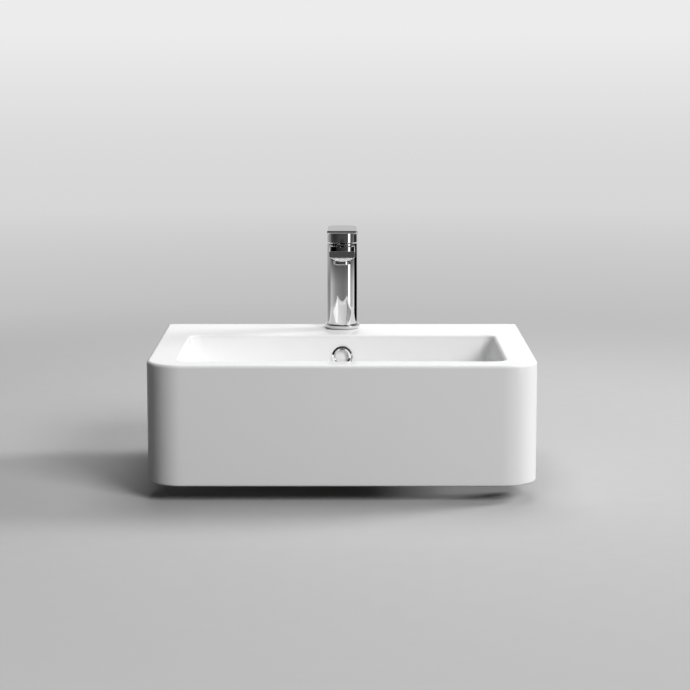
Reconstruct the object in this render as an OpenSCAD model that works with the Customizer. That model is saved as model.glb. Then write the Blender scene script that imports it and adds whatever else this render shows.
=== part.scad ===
// Semi-recessed basin with a mono mixer tap and a slotted push waste.
// Millimetres. z = 0 is the seat under the basin's rear block, y = 0 is its
// back face and the front faces -Y. Both sides of x = 0 are the same.

/* [Basin outside] */
// Width across the front
basin_w = 500; // [480:5:600]
// Depth from the back face to the front face
basin_d = 375; // [370:5:420]
// Height of the rim above the seat
rim_h = 80; // [76:1:90]
// How far the front skirt hangs below the seat
skirt_drop = 76; // [66:1:90]
// Thickness of the front block that hangs below the seat
front_d = 80; // [60:1:110]
// Radius of the upright front corners
front_r = 46; // [35:1:55]
// Radius of the rim's outer edge and of the upright rear corners
edge_r = 4.5; // [3:0.5:6]
// Radius of the skirt's bottom edge
foot_r = 2; // [1:0.5:3]
// Thickness of the outer walls
wall_t = 12; // [9:1:14]
// Thickness of the rim and of the tap ledge
deck_t = 14; // [12:1:16]

/* [Bowl] */
// Width of the bowl at the rim
mouth_w = 418; // [380:2:424]
// Length of the bowl at the rim, back to front
mouth_l = 228; // [220:2:234]
// Width of the front rim
front_rim = 35; // [32:1:45]
// Plan radius of the bowl's corners at the rim
mouth_r = 16; // [12:1:20]
// Radius of the rounded lip around the bowl
lip_r = 4; // [3:0.5:5]
// How far the bowl's walls lean in on their way down
bowl_lean = 6; // [4:1:10]
// Depth of the bowl's floor below the rim
bowl_deep = 104; // [96:1:110]
// Radius between the bowl's walls and its floor
bowl_cove = 20; // [16:1:22]
// Plan radius of the bowl's corners at the floor
bowl_r = 22; // [22:1:36]
// Fall of the floor towards the waste
floor_fall = 5; // [3:1:8]
// Thickness of the bowl's shell
bowl_t = 11; // [8:1:11]

/* [Waste and overflow ways] */
// Distance of the waste's axis from the back face
waste_back = 205; // [195:1:220]
// Diameter of the bore for the waste
waste_bore_d = 46; // [45:0.5:48]
// Diameter of the boss around the waste's bore
waste_boss_d = 78; // [74:1:84]
// Height of the boss from the floor's low point to its underside
waste_boss_h = 33; // [32:1:36]
// Depth of the overflow's centre below the rim
overflow_drop = 30; // [28:1:34]
// Diameter of the overflow's bore through the bowl's back wall
overflow_bore_d = 22; // [20:0.5:24]
// Diameter of the overflow's inside channel
channel_d = 16; // [14:1:18]
// Thickness of the china around the overflow's channel
channel_t = 7; // [5:1:9]

/* [Overflow ring] */
// Outside diameter of the overflow ring
overflow_ring_d = 29; // [28:0.5:31]
// Clear diameter of the overflow ring
overflow_hole_d = 18; // [15:0.5:18.5]
// Length of the overflow ring's sleeve
overflow_sleeve_l = 12; // [8:1:14]

/* [Tap body] */
// Distance of the tap's axis from the back face
tap_back = 40; // [39:1:46]
// Diameter of the tap hole in the ledge
tap_hole_d = 35; // [35:0.5:36]
// Diameter of the tap's column
column_d = 42; // [41.5:0.5:44]
// Height of the column's top above the rim
column_h = 121; // [118:1:150]
// Diameter of the ring at the column's foot
base_ring_d = 50; // [48:0.5:54]
// Height of the ring at the column's foot
base_ring_h = 6; // [5:0.5:8]
// Reach of the spout in front of the tap's axis
spout_reach = 106; // [100:1:116]
// Width of the spout
spout_w = 35; // [32:0.5:38]
// Height of the spout's upright sides
spout_t = 8; // [7:0.5:9]
// How far the spout's top lies below the column's top
spout_step = 1.5; // [1:0.5:3]
// Width of the rounded belly under the spout
belly_w = 28; // [26:0.5:30]
// Depth of the rounded belly under the spout
belly_sag = 4; // [3.5:0.5:5]
// Distance of the aerator's axis behind the spout's tip
aerator_set = 15; // [14:0.5:17]
// Diameter of the aerator's visible collar
aerator_d = 23.6; // [23:0.2:25]
// Visible height of the aerator's collar
aerator_h = 4.6; // [4:0.2:6]

/* [Tap handle] */
// Reach of the handle's blade in front of the tap's axis
blade_reach = 68; // [55:1:80]
// Thickness of the handle's blade
blade_t = 4; // [3:0.5:5]
// Height of the handle's hub below the blade
hub_h = 18; // [17:0.5:22]
// Gap between the column and the handle's hub
seam_gap = 1; // [0.8:0.1:1.4]
// Highest lift of the handle, in degrees
lift_max = 20; // [12:1:22]

/* [Waste fitting] */
// Outside diameter of the waste's threaded body
waste_d = 41.9; // [41.5:0.1:42]
// Diameter of the waste's flange
waste_flange_d = 64; // [60:1:66]
// Length of the waste's body below its flange
waste_l = 66; // [64:1:76]
// Diameter of the push cap
cap_d = 60; // [56:1:62]
// Travel of the push cap
cap_lift = 7; // [5:1:9]

/* [Hidden] */
// Facets of round shapes, and of the ones that a hull draws
$fn = 96;
hull_fn = 32;
// Overlap past a surface when cutting, and of forms that join in one piece
cut = 1;
join = 2;
// Gaps of a plain thread, a sliding fit, a loose disc and moving parts
thread_gap = 0.1;
fit_gap = 0.05;
disc_gap = 0.2;
move_gap = 0.3;
// Small chamfer on turned parts
bevel = 0.8;

// Basin: heights and outlines
skirt_z = -skirt_drop;
skirt_back = -(basin_d - front_d);
front_c = -(basin_d - front_r);
corner_x = basin_w / 2 - front_r;
rear_x = basin_w / 2 - edge_r;
deck_z = rim_h - deck_t;
core_w = basin_w - 2 * wall_t;
core_r = front_r - wall_t;

// Bowl: mouth, floor and the lean of its walls
mouth_front = -(basin_d - front_rim);
mouth_back = mouth_front + mouth_l;
mouth_c = (mouth_front + mouth_back) / 2;
bowl_top = rim_h - lip_r;
floor_z = rim_h - bowl_deep;
sump_z = floor_z - floor_fall;
sump_edge = 3;
sump_r = waste_flange_d / 2 + sump_edge;
wall_fall = bowl_top - floor_z - bowl_cove;
wall_run = bowl_lean + bowl_cove;
wall_lean = acos(bowl_cove / norm([wall_run, wall_fall])) - atan2(wall_fall, wall_run);

// Overflow: place on the leaning back wall, and its channel
overflow_z = rim_h - overflow_drop;
overflow_y = mouth_back - (bowl_top - overflow_z) * tan(wall_lean);
overflow_seat = 0.6;
channel_y = overflow_y + channel_t + bowl_t + channel_d / 2 - join;
channel_or = channel_d / 2 + channel_t;
overflow_reach = (channel_y - overflow_y) / cos(wall_lean);
boss_z = sump_z - waste_boss_h;
channel_rise = 1;
channel_z = boss_z + channel_or + channel_rise;
web_side = 2;
web_w = channel_d + 2 * web_side;
web_l = 2 * bowl_lean + bowl_cove;
bore_extra = 3;

// Tap: heights above the rim
tap_z = rim_h;
base_gap = 0.3;
base_web = 2;
column_low = tap_z + base_gap + base_web;
column_top = tap_z + column_h;
base_seal_t = 1.3;
base_seal_r = 22.5;
base_seal_in = 19;
column_r = column_d / 2;
spout_top = column_top - spout_step;
spout_bevel = 1;
spout_bend = 2.2;
belly_top = spout_top - spout_t - spout_bend;
belly_z = belly_top - belly_sag;
belly_r = (pow(belly_w / 2, 2) + pow(belly_sag, 2)) / (2 * belly_sag);
tip_set = 2;

// Tap: ways for the water
inlet_x = 8;
inlet_y = -5;
inlet_d = 10;
inlet_l = 14;
supply_d = 6;
stud_y = 10;
stud_d = 8;
stud_in = 12;
stud_drop = 45;
spout_way_d = 7;
spout_way_wall = 1.6;
spout_way_z = belly_z + spout_way_wall + spout_way_d / 2;

// Aerator in the spout's end
aerator_y = -(spout_reach - aerator_set);
aerator_low = belly_z - aerator_h;
aerator_thread_d = 20;
aerator_thread_l = 5;
aerator_bore_d = 16.5;
aerator_insert_l = 6;
aerator_seal_t = 1.5;
aerator_seal_top = belly_z + aerator_thread_l + aerator_seal_t;
aerator_seal_bore_d = 14;
aerator_neck_d = 17;
aerator_neck_l = 2.5;
aerator_lip = 1;
aerator_hole_d = 2.4;
aerator_hole_r = 5;

// Cartridge: the pivot of the lever sets its heights
pivot_drop = 9;
pivot_z = column_top - pivot_drop;
nut_d = 34;
nut_t = 5.5;
nut_bore_d = 22.6;
cavity_d = 31;
cavity_drop = 34;
cavity_low = pivot_z - cavity_drop;
can_d = 28;
can_seal_t = 2;
can_low = cavity_low + can_seal_t;
can_shoulder = column_top - nut_t;
can_neck_d = 22;
can_neck_h = 4;
can_neck_top = can_shoulder + can_neck_h;
can_floor = 3;
disc_room_d = 24;
disc_t = 4;
disc_low = can_low + can_floor;
disc_d = disc_room_d - 2 * disc_gap;
disc_port_d = 5;
moving_low = disc_low + disc_t + move_gap;
moving_disc_d = 20;
swivel_low = moving_low + disc_t;
swivel_flange_t = 4.4;
swivel_flange_d = 22;
disc_room_top = swivel_low + swivel_flange_t + move_gap;
swivel_d = 16.8;
neck_bore_d = swivel_d + 2 * move_gap;
swivel_sink = 2;
swivel_top = can_neck_top - swivel_sink;
fork_w = 6.6;
fork_drop = 14.7;
fork_low = pivot_z - fork_drop;
pin_d = 3;
pin_l = 15.6;
lever_w = 6;
lever_y = 6;
lever_drop = 12.5;
lever_low = pivot_z - lever_drop;
lever_d = 8;
lever_foot = 8;
lever_round = pivot_z + lever_foot;
lever_play = 0.3;
window_d = 5;

// Cover: a dome round the lever's pivot
dome_r = 17;
dome_hole_r = 11;

// Handle: hub, blade and the socket for the lever
hub_low = column_top + seam_gap;
hub_top = hub_low + hub_h;
hub_wall = 3;
hub_roof_t = 2.5;
hub_roof = hub_top - hub_roof_t;
boss_rise = 17.5;
boss_low = pivot_z + boss_rise;
boss_r = 7;
socket_roof_t = 2;
socket_top = hub_top - socket_roof_t;
lever_top = socket_top - lever_play;
relief_angle = lift_max + 2;
blade_corner = 3;
screw_drop = 3.5;
screw_z = hub_roof - screw_drop;
screw_d = 4;
screw_l = 5;
plug_d = 5;
plug_l = 3;
plug_sink = 0.2;

// Clamp under the ledge
clamp_d = 52;
clamp_seal_t = 3;
clamp_plate_t = 2.5;
clamp_slot_r = 15;
clamp_slot_y = -11;
clamp_nut_flats = 13;
clamp_nut_h = 10;

// Waste: heights below the bowl's floor
waste_flange_t = 2.5;
waste_seal_t = 2;
recess_side = 1;
recess_d = waste_flange_d + 2 * recess_side;
recess_z = sump_z - waste_flange_t - waste_seal_t;
flange_low = recess_z + waste_seal_t;
waste_low = flange_low - waste_l;
waste_inner_d = 36;
waste_mouth_d = 40;
slot_w = 12;
slot_h = 10;
lower_seal_t = 6;
lower_seal_d = 62;
washer_t = 2;
washer_d = 60;
waste_nut_t = 10;
waste_nut_d = 58;
grip_count = 8;
grip_d = 8;
grip_set = 1;
spider_drop = 30;
spider_z = recess_z - spider_drop;
spider_t = 4;
spider_w = 5;
spider_d = 14;
sleeve_d = 11;
sleeve_bore_d = 8.4;
sleeve_end_bore_d = 6.4;
sleeve_floor = 1;
sleeve_drop = 3;
sleeve_top = flange_low - sleeve_drop;
stud_end_d = 8;
tail_l = 15;
tail_top = waste_low + tail_l;
groove_w = 2;
groove_t = 0.6;
seal_side = 0.5;

// Push cap: it lifts with its seal and plunger
cap_gap = 1.2;
cap_t = 3;
cap_low = sump_z + cap_gap;
cap_edge = 1.2;
cap_spigot_d = 34;
cap_seal_d = 38.8;
cap_seal_t = 2;
cap_seal_low = flange_low + move_gap;
cap_seal_top = cap_seal_low + cap_seal_t;
plunger_hold = 12;
plunger_low = sleeve_top - cap_lift - plunger_hold;
plunger_head_d = 20;
plunger_rim_d = 30;
plunger_rim_t = 1.5;

// Shared shapes
module tube(outer_d, inner_d, low, high) {
    translate([0, 0, low])
        difference() {
            cylinder(d = outer_d, h = high - low);
            translate([0, 0, -cut])
                cylinder(d = inner_d, h = high - low + 2 * cut);
        }
}

module rod(d, low, high) {
    translate([0, 0, low])
        cylinder(d = d, h = high - low);
}

module at_tap() {
    translate([0, -tap_back, 0])
        children();
}

module at_waste() {
    translate([0, -waste_back, 0])
        children();
}

module at_overflow() {
    translate([0, overflow_y, overflow_z])
        rotate([90 - wall_lean, 0, 0])
            children();
}

module at_aerator() {
    translate([0, aerator_y - tap_back, 0])
        children();
}

module both_sides() {
    children();
    mirror([1, 0, 0])
        children();
}

// Basin: a half section whose rim edge and foot edge are rounded
module edge_section(half, low, foot) {
    translate([0, low + foot])
        square([half, rim_h - edge_r - low - foot]);
    translate([0, rim_h - edge_r - foot_r])
        square([half - edge_r, edge_r + foot_r]);
    translate([half - edge_r, rim_h - edge_r])
        circle(r = edge_r);
    if (foot > 0) {
        translate([0, low])
            square([half - foot, foot + edge_r]);
        translate([half - foot, low + foot])
            circle(r = foot);
    }
}

// Basin: the block behind the front corners that stands on the seat
module rear_block() {
    translate([0, -edge_r, 0])
        rotate([90, 0, 0])
            linear_extrude(height = -front_c - edge_r)
                both_sides()
                    edge_section(basin_w / 2, 0, 0);
    translate([-rear_x, front_c, 0])
        rotate([90, 0, 90])
            linear_extrude(height = 2 * rear_x)
                edge_section(-front_c, 0, 0);
    both_sides()
        translate([rear_x, -edge_r, 0]) {
            cylinder(r = edge_r, h = rim_h - edge_r);
            translate([0, 0, rim_h - edge_r])
                sphere(r = edge_r);
        }
}

// Basin: the tall front with its two round corners
module front_block() {
    translate([0, skirt_back, 0])
        rotate([90, 0, 0])
            linear_extrude(height = skirt_back - front_c)
                both_sides()
                    edge_section(basin_w / 2, skirt_z, foot_r);
    translate([corner_x, skirt_back, 0])
        rotate([90, 0, -90])
            linear_extrude(height = 2 * corner_x)
                edge_section(front_d, skirt_z, foot_r);
    both_sides()
        translate([corner_x, front_c, 0])
            rotate([0, 0, -90])
                rotate_extrude(angle = 90)
                    edge_section(front_r, skirt_z, foot_r);
}

// Basin: the open space inside the outer walls
module core() {
    translate([0, 0, skirt_z - cut])
        linear_extrude(height = deck_z - skirt_z + cut) {
            translate([-core_w / 2, front_c])
                square([core_w, -front_c - wall_t]);
            translate([-corner_x, -(basin_d - wall_t)])
                square([2 * corner_x, core_r + cut]);
            both_sides()
                translate([corner_x, front_c])
                    circle(r = core_r);
        }
}

// Bowl: one rounded form, grown outwards for its shell
module bowl_form(grow, top) {
    mouth_x = mouth_w / 2 - mouth_r;
    mouth_y = mouth_l / 2 - mouth_r;
    floor_x = mouth_w / 2 - bowl_lean - bowl_r;
    floor_y = mouth_l / 2 - bowl_lean - bowl_r;
    hull($fn = hull_fn) {
        for (sx = [-1, 1])
            for (sy = [-1, 1]) {
                translate([sx * mouth_x, mouth_c + sy * mouth_y, top - cut])
                    cylinder(r = mouth_r + grow, h = cut);
                translate([sx * floor_x, mouth_c + sy * floor_y, floor_z + bowl_cove])
                    rotate_extrude()
                        intersection() {
                            translate([bowl_r - bowl_cove, 0])
                                circle(r = bowl_cove + grow);
                            translate([0, -bowl_r])
                                square(2 * bowl_r);
                        }
            }
        translate([0, -waste_back, sump_z - grow])
            cylinder(r = sump_r, h = cut);
    }
}

// Bowl: the round bead that the lip is cut against
module lip_bead() {
    path_x = mouth_w / 2 - mouth_r;
    path_y = mouth_l / 2 - mouth_r;
    translate([0, mouth_c, bowl_top]) {
        both_sides()
            translate([mouth_w / 2 + lip_r, path_y, 0])
                rotate([90, 0, 0])
                    cylinder(r = lip_r, h = 2 * path_y);
        for (sy = [-1, 1])
            translate([-path_x, sy * (mouth_l / 2 + lip_r), 0])
                rotate([0, 90, 0])
                    cylinder(r = lip_r, h = 2 * path_x);
        for (turn = [0, 1, 2, 3])
            translate([(turn == 0 || turn == 3 ? 1 : -1) * path_x, (turn < 2 ? 1 : -1) * path_y, 0])
                rotate([0, 0, turn * 90])
                    rotate_extrude(angle = 90)
                        translate([mouth_r + lip_r, 0])
                            circle(r = lip_r);
    }
}

// Bowl: a straight prism of the mouth's outline
module mouth_prism(grow, low, high) {
    mouth_x = mouth_w / 2 - mouth_r;
    mouth_y = mouth_l / 2 - mouth_r;
    translate([0, mouth_c, low])
        linear_extrude(height = high - low) {
            square([mouth_w + 2 * grow, 2 * mouth_y], center = true);
            square([2 * mouth_x, mouth_l + 2 * grow], center = true);
            for (sx = [-1, 1])
                for (sy = [-1, 1])
                    translate([sx * mouth_x, sy * mouth_y])
                        circle(r = mouth_r + grow);
        }
}

module basin() {
    color([0.95, 0.95, 0.95])
        difference() {
            union() {
                difference() {
                    union() {
                        rear_block();
                        front_block();
                    }
                    core();
                }
                bowl_form(bowl_t, deck_z + join);
                at_waste()
                    rod(waste_boss_d, boss_z, sump_z - join);
                overflow_duct();
            }
            bowl_form(0, bowl_top - cut / 2);
            mouth_prism(0, bowl_top - 2 * cut, rim_h + cut);
            difference() {
                mouth_prism(lip_r, bowl_top, rim_h + cut);
                lip_bead();
            }
            at_waste() {
                rod(waste_bore_d, boss_z - cut, sump_z);
                rod(recess_d, recess_z, sump_z + cut);
            }
            overflow_ways();
            at_tap()
                rod(tap_hole_d, deck_z - cut, rim_h + cut);
        }
}

// Basin: china around the overflow's channel
module overflow_duct() {
    translate([0, channel_y, channel_z]) {
        cylinder(r = channel_or, h = deck_z - channel_z + cut);
        sphere(r = channel_or);
        rotate([90, 0, 0])
            cylinder(r = channel_or, h = waste_back + channel_y);
        translate([-web_w / 2, -web_l, 0])
            cube([web_w, web_l, deck_z - channel_z + cut]);
    }
    at_overflow()
        translate([0, 0, -overflow_reach])
            cylinder(d = overflow_bore_d + channel_t, h = overflow_reach - lip_r);
}

// Basin: bores from the bowl's back wall to the waste
module overflow_ways() {
    translate([0, channel_y, channel_z]) {
        cylinder(d = channel_d, h = overflow_z - channel_z);
        sphere(d = channel_d);
        rotate([90, 0, 0])
            cylinder(d = channel_d, h = waste_back + channel_y);
    }
    at_overflow() {
        translate([0, 0, -overflow_sleeve_l - bore_extra])
            cylinder(d = overflow_bore_d, h = overflow_sleeve_l + bore_extra + cut);
        translate([0, 0, -overflow_reach])
            cylinder(d = channel_d, h = overflow_reach);
        translate([0, 0, -overflow_seat])
            cylinder(d = overflow_ring_d + 2 * seal_side, h = overflow_seat + cut + join);
    }
}

// Overflow ring: a round collar with a sleeve in the bore
module overflow_ring() {
    bead_r = (overflow_ring_d - overflow_hole_d) / 4;
    sleeve_t = overflow_bore_d / 2 - fit_gap - overflow_hole_d / 2;
    color([0.8, 0.8, 0.82])
        at_overflow()
            rotate_extrude() {
                intersection() {
                    translate([overflow_hole_d / 2 + bead_r, -overflow_seat])
                        circle(r = bead_r);
                    translate([0, -overflow_seat])
                        square(overflow_ring_d);
                }
                translate([overflow_hole_d / 2, -overflow_sleeve_l])
                    square([sleeve_t, overflow_sleeve_l - overflow_seat]);
            }
}

// Tap: the outline of the spout's section
module spout_section() {
    half = spout_w / 2;
    low = spout_top - spout_t;
    polygon([
        [-half, low], [-half, spout_top - spout_bevel],
        [-half + spout_bevel, spout_top], [half - spout_bevel, spout_top],
        [half, spout_top - spout_bevel], [half, low],
        [belly_w / 2, belly_top], [-belly_w / 2, belly_top]]);
}

module belly_section() {
    intersection() {
        translate([0, belly_z + belly_r])
            circle(r = belly_r);
        translate([-belly_w / 2, belly_z - cut])
            square([belly_w, belly_sag + spout_bend + cut]);
    }
}

module tap_body() {
    color([0.8, 0.8, 0.82])
        at_tap()
            difference() {
                union() {
                    rod(column_d, column_low, column_top - bevel);
                    translate([0, 0, column_top - bevel])
                        cylinder(r1 = column_r, r2 = column_r - bevel, h = bevel);
                    rotate([90, 0, 0])
                        linear_extrude(height = spout_reach)
                            spout_section();
                    rotate([90, 0, 0])
                        linear_extrude(height = spout_reach - tip_set)
                            belly_section();
                    translate([0, aerator_y, 0])
                        rod(aerator_d, belly_z, belly_top + cut);
                }
                rod(cavity_d, cavity_low, column_top);
                rod(nut_d, can_shoulder, column_top + cut);
                both_sides()
                    translate([inlet_x, inlet_y, 0]) {
                        rod(inlet_d, column_low - cut, column_low + inlet_l);
                        rod(supply_d, column_low, cavity_low + cut);
                    }
                translate([0, stud_y, 0])
                    rod(stud_d + 2 * thread_gap, column_low - cut, column_low + stud_in + cut);
                translate([0, 0, spout_way_z])
                    rotate([90, 0, 0])
                        cylinder(d = spout_way_d, h = -aerator_y);
                translate([0, aerator_y, 0]) {
                    rod(aerator_thread_d + 2 * thread_gap, belly_z - cut, aerator_seal_top);
                    rod(aerator_neck_d, belly_z, aerator_seal_top + aerator_neck_l);
                }
            }
}

// Tap: ring round the column's foot, with a seat for the column
module tap_base_ring() {
    ring_low = tap_z + base_gap;
    ring_top = ring_low + base_ring_h;
    groove_outer = 2 * (base_seal_r + fit_gap);
    groove_inner = 2 * (base_seal_in - fit_gap);
    color([0.8, 0.8, 0.82])
        at_tap()
            difference() {
                union() {
                    rod(base_ring_d, ring_low, ring_top - bevel);
                    translate([0, 0, ring_top - bevel])
                        cylinder(r1 = base_ring_d / 2, r2 = base_ring_d / 2 - bevel, h = bevel);
                }
                rod(tap_hole_d, ring_low - cut, ring_top + cut);
                rod(column_d + 2 * fit_gap, column_low, ring_top + cut);
                tube(groove_outer, groove_inner, ring_low - cut, tap_z + base_seal_t);
            }
}

module tap_base_seal() {
    color([0.15, 0.15, 0.15])
        at_tap()
            tube(2 * base_seal_r, 2 * base_seal_in, tap_z, tap_z + base_seal_t);
}

module tap_stud() {
    color([0.6, 0.6, 0.62])
        at_tap()
            translate([0, stud_y, 0])
                rod(stud_d, tap_z - stud_drop, column_low + stud_in);
}

// Clamp: a horseshoe that leaves room for the supply hoses
module horseshoe(low, thick) {
    at_tap()
        translate([0, 0, low])
            difference() {
                cylinder(d = clamp_d, h = thick);
                translate([0, clamp_slot_y, -cut])
                    cylinder(r = clamp_slot_r, h = thick + 2 * cut);
                translate([-clamp_slot_r, clamp_slot_y - clamp_d, -cut])
                    cube([2 * clamp_slot_r, clamp_d, thick + 2 * cut]);
                translate([0, stud_y, -cut])
                    cylinder(d = stud_d + 2 * thread_gap, h = thick + 2 * cut);
            }
}

module clamp_seal() {
    color([0.15, 0.15, 0.15])
        horseshoe(deck_z - clamp_seal_t, clamp_seal_t);
}

module clamp_plate() {
    color([0.6, 0.6, 0.62])
        horseshoe(deck_z - clamp_seal_t - clamp_plate_t, clamp_plate_t);
}

module clamp_nut() {
    nut_top = deck_z - clamp_seal_t - clamp_plate_t;
    color([0.75, 0.62, 0.3])
        at_tap()
            translate([0, stud_y, nut_top - clamp_nut_h])
                difference() {
                    cylinder(d = clamp_nut_flats / cos(30), h = clamp_nut_h, $fn = 6);
                    translate([0, 0, -cut])
                        cylinder(d = stud_d + 2 * thread_gap, h = clamp_nut_h + 2 * cut);
                }
}

// Cartridge: can with room for the discs and a neck for the swivel
module cartridge_can() {
    color([0.85, 0.85, 0.8])
        at_tap()
            difference() {
                union() {
                    rod(can_d, can_low, can_shoulder);
                    rod(can_neck_d, can_low, can_neck_top);
                }
                rod(disc_room_d, disc_low, disc_room_top);
                rod(neck_bore_d, disc_low, can_neck_top + cut);
                both_sides()
                    translate([inlet_x, inlet_y, 0])
                        rod(supply_d, can_low - cut, disc_low + cut);
                for (side = [0, 90])
                    rotate([0, 0, side])
                        translate([0, can_d, moving_low + disc_t / 2])
                            rotate([90, 0, 0])
                                cylinder(d = window_d, h = 2 * can_d);
            }
}

module cartridge_seal() {
    color([0.15, 0.15, 0.15])
        at_tap()
            difference() {
                rod(can_d, cavity_low, can_low);
                both_sides()
                    translate([inlet_x, inlet_y, 0])
                        rod(supply_d, cavity_low - cut, can_low + cut);
            }
}

module cartridge_fixed_disc() {
    color([0.95, 0.95, 0.92])
        at_tap()
            difference() {
                rod(disc_d, disc_low, disc_low + disc_t);
                both_sides()
                    translate([inlet_x, inlet_y, 0])
                        rod(disc_port_d, disc_low - cut, disc_low + disc_t + cut);
            }
}

module cartridge_moving_disc() {
    color([0.95, 0.95, 0.92])
        at_tap()
            rod(moving_disc_d, moving_low, swivel_low);
}

// Cartridge: swivel whose fork carries the lever's pin
module cartridge_swivel() {
    color([0.85, 0.85, 0.8])
        at_tap()
            difference() {
                union() {
                    rod(swivel_flange_d, swivel_low, swivel_low + swivel_flange_t);
                    rod(swivel_d, swivel_low, swivel_top);
                }
                translate([-fork_w / 2, -swivel_d, fork_low])
                    cube([fork_w, 2 * swivel_d, swivel_top - fork_low + cut]);
                translate([-swivel_d, 0, pivot_z])
                    rotate([0, 90, 0])
                        cylinder(d = pin_d + 2 * fit_gap, h = 2 * swivel_d);
            }
}

module cartridge_pin() {
    color([0.6, 0.6, 0.62])
        at_tap()
            translate([-pin_l / 2, 0, pivot_z])
                rotate([0, 90, 0])
                    cylinder(d = pin_d, h = pin_l);
}

module cartridge_lever() {
    color([0.75, 0.62, 0.3])
        at_tap()
            difference() {
                union() {
                    translate([-lever_w / 2, -lever_y / 2, lever_low])
                        cube([lever_w, lever_y, lever_round - lever_low + cut]);
                    rod(lever_d, lever_round, lever_top);
                }
                translate([-lever_d, 0, pivot_z])
                    rotate([0, 90, 0])
                        cylinder(d = pin_d + 2 * fit_gap, h = 2 * lever_d);
            }
}

module cartridge_nut() {
    color([0.75, 0.62, 0.3])
        at_tap()
            tube(nut_d - 2 * thread_gap, nut_bore_d, can_shoulder, column_top);
}

// Tap: cover under the handle, a zone of a ball round the lever's pivot
module tap_cover() {
    color([0.8, 0.8, 0.82])
        at_tap()
            difference() {
                translate([0, 0, pivot_z])
                    sphere(r = dome_r);
                translate([0, 0, column_top - 2 * dome_r])
                    cylinder(r = 2 * dome_r, h = 2 * dome_r);
                rod(2 * dome_hole_r, pivot_z, pivot_z + 2 * dome_r);
            }
}

module blade_outline() {
    circle(r = column_r);
    translate([-column_r, -blade_reach + blade_corner])
        square([2 * column_r, blade_reach - blade_corner]);
    translate([-column_r + blade_corner, -blade_reach])
        square([2 * (column_r - blade_corner), blade_corner + cut]);
    both_sides()
        translate([column_r - blade_corner, -blade_reach + blade_corner])
            circle(r = blade_corner);
}

// Handle: hollow hub cut back behind so that it can lift, and a flat blade
module tap_handle() {
    color([0.8, 0.8, 0.82])
        at_tap()
            difference() {
                union() {
                    difference() {
                        union() {
                            translate([0, 0, hub_low])
                                cylinder(r1 = column_r - bevel, r2 = column_r, h = bevel);
                            rod(column_d, hub_low + bevel, hub_top + cut);
                            translate([0, 0, hub_top])
                                linear_extrude(height = blade_t)
                                    blade_outline();
                        }
                        rod(column_d - 2 * hub_wall, hub_low - cut, hub_roof);
                        translate([0, 0, hub_low])
                            rotate([relief_angle, 0, 0])
                                translate([-column_d, 0, -column_d])
                                    cube([2 * column_d, 2 * column_d, column_d]);
                    }
                    rod(2 * boss_r, boss_low, hub_roof + cut);
                }
                rod(lever_d + 2 * fit_gap, boss_low - cut, socket_top);
                translate([0, 0, screw_z])
                    rotate([-90, 0, 0]) {
                        cylinder(d = screw_d, h = column_d);
                        translate([0, 0, column_r - hub_wall - cut])
                            cylinder(d = plug_d + 2 * fit_gap, h = hub_wall + 2 * cut);
                    }
            }
}

module handle_screw() {
    color([0.6, 0.6, 0.62])
        at_tap()
            translate([0, lever_d / 2 + fit_gap, screw_z])
                rotate([-90, 0, 0])
                    cylinder(d = screw_d - 2 * thread_gap, h = screw_l);
}

module handle_plug() {
    color([0.3, 0.3, 0.32])
        at_tap()
            translate([0, column_r - plug_l - plug_sink, screw_z])
                rotate([-90, 0, 0])
                    cylinder(d = plug_d, h = plug_l);
}

// Aerator: collar below the spout and a thread in it
module aerator_housing() {
    thread_top = belly_z + aerator_thread_l;
    color([0.8, 0.8, 0.82])
        at_aerator()
            difference() {
                union() {
                    rod(aerator_d, aerator_low, belly_z);
                    rod(aerator_thread_d, belly_z, thread_top);
                }
                rod(aerator_bore_d, aerator_low + aerator_lip, thread_top + cut);
                rod(aerator_bore_d - 2 * aerator_lip, aerator_low - cut, thread_top);
            }
}

module aerator_insert() {
    low = aerator_low + aerator_lip;
    color([0.85, 0.85, 0.88])
        at_aerator()
            difference() {
                rod(aerator_bore_d - 2 * fit_gap, low, low + aerator_insert_l);
                rod(aerator_hole_d, low - cut, low + aerator_insert_l + cut);
                for (turn = [0 : 60 : 300])
                    rotate([0, 0, turn])
                        translate([aerator_hole_r, 0, 0])
                            rod(aerator_hole_d, low - cut, low + aerator_insert_l + cut);
            }
}

module aerator_seal() {
    low = aerator_seal_top - aerator_seal_t;
    color([0.15, 0.15, 0.15])
        at_aerator()
            tube(aerator_thread_d, aerator_seal_bore_d, low, low + aerator_seal_t);
}

// Waste: flanged body with four slots and a spider for the sleeve
module waste_body() {
    slot_z = channel_z - slot_h / 2;
    color([0.8, 0.8, 0.82])
        at_waste() {
            difference() {
                union() {
                    rod(waste_flange_d, flange_low, sump_z - bevel);
                    translate([0, 0, sump_z - bevel])
                        cylinder(r1 = waste_flange_d / 2, r2 = waste_flange_d / 2 - bevel, h = bevel);
                    rod(waste_d, waste_low, flange_low);
                }
                tube(waste_d + join, waste_d - 2 * groove_t, tail_top, tail_top + groove_w);
                rod(waste_inner_d, waste_low - cut, sump_z + cut);
                rod(waste_mouth_d, flange_low, sump_z + cut);
                for (turn = [45, 135])
                    rotate([0, 0, turn])
                        translate([-slot_w / 2, -waste_d, slot_z])
                            cube([slot_w, 2 * waste_d, slot_h]);
            }
            difference() {
                translate([0, 0, spider_z]) {
                    cylinder(d = spider_d, h = spider_t);
                    for (turn = [0, 120, 240])
                        rotate([0, 0, turn])
                            translate([0, -spider_w / 2, 0])
                                cube([waste_inner_d / 2 + cut, spider_w, spider_t]);
                }
                rod(stud_end_d + 2 * thread_gap, spider_z - cut, spider_z + spider_t + cut);
            }
        }
}

module waste_upper_seal() {
    color([0.15, 0.15, 0.15])
        at_waste()
            tube(waste_flange_d - 2 * seal_side, waste_d + 2 * fit_gap, recess_z, flange_low);
}

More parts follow.
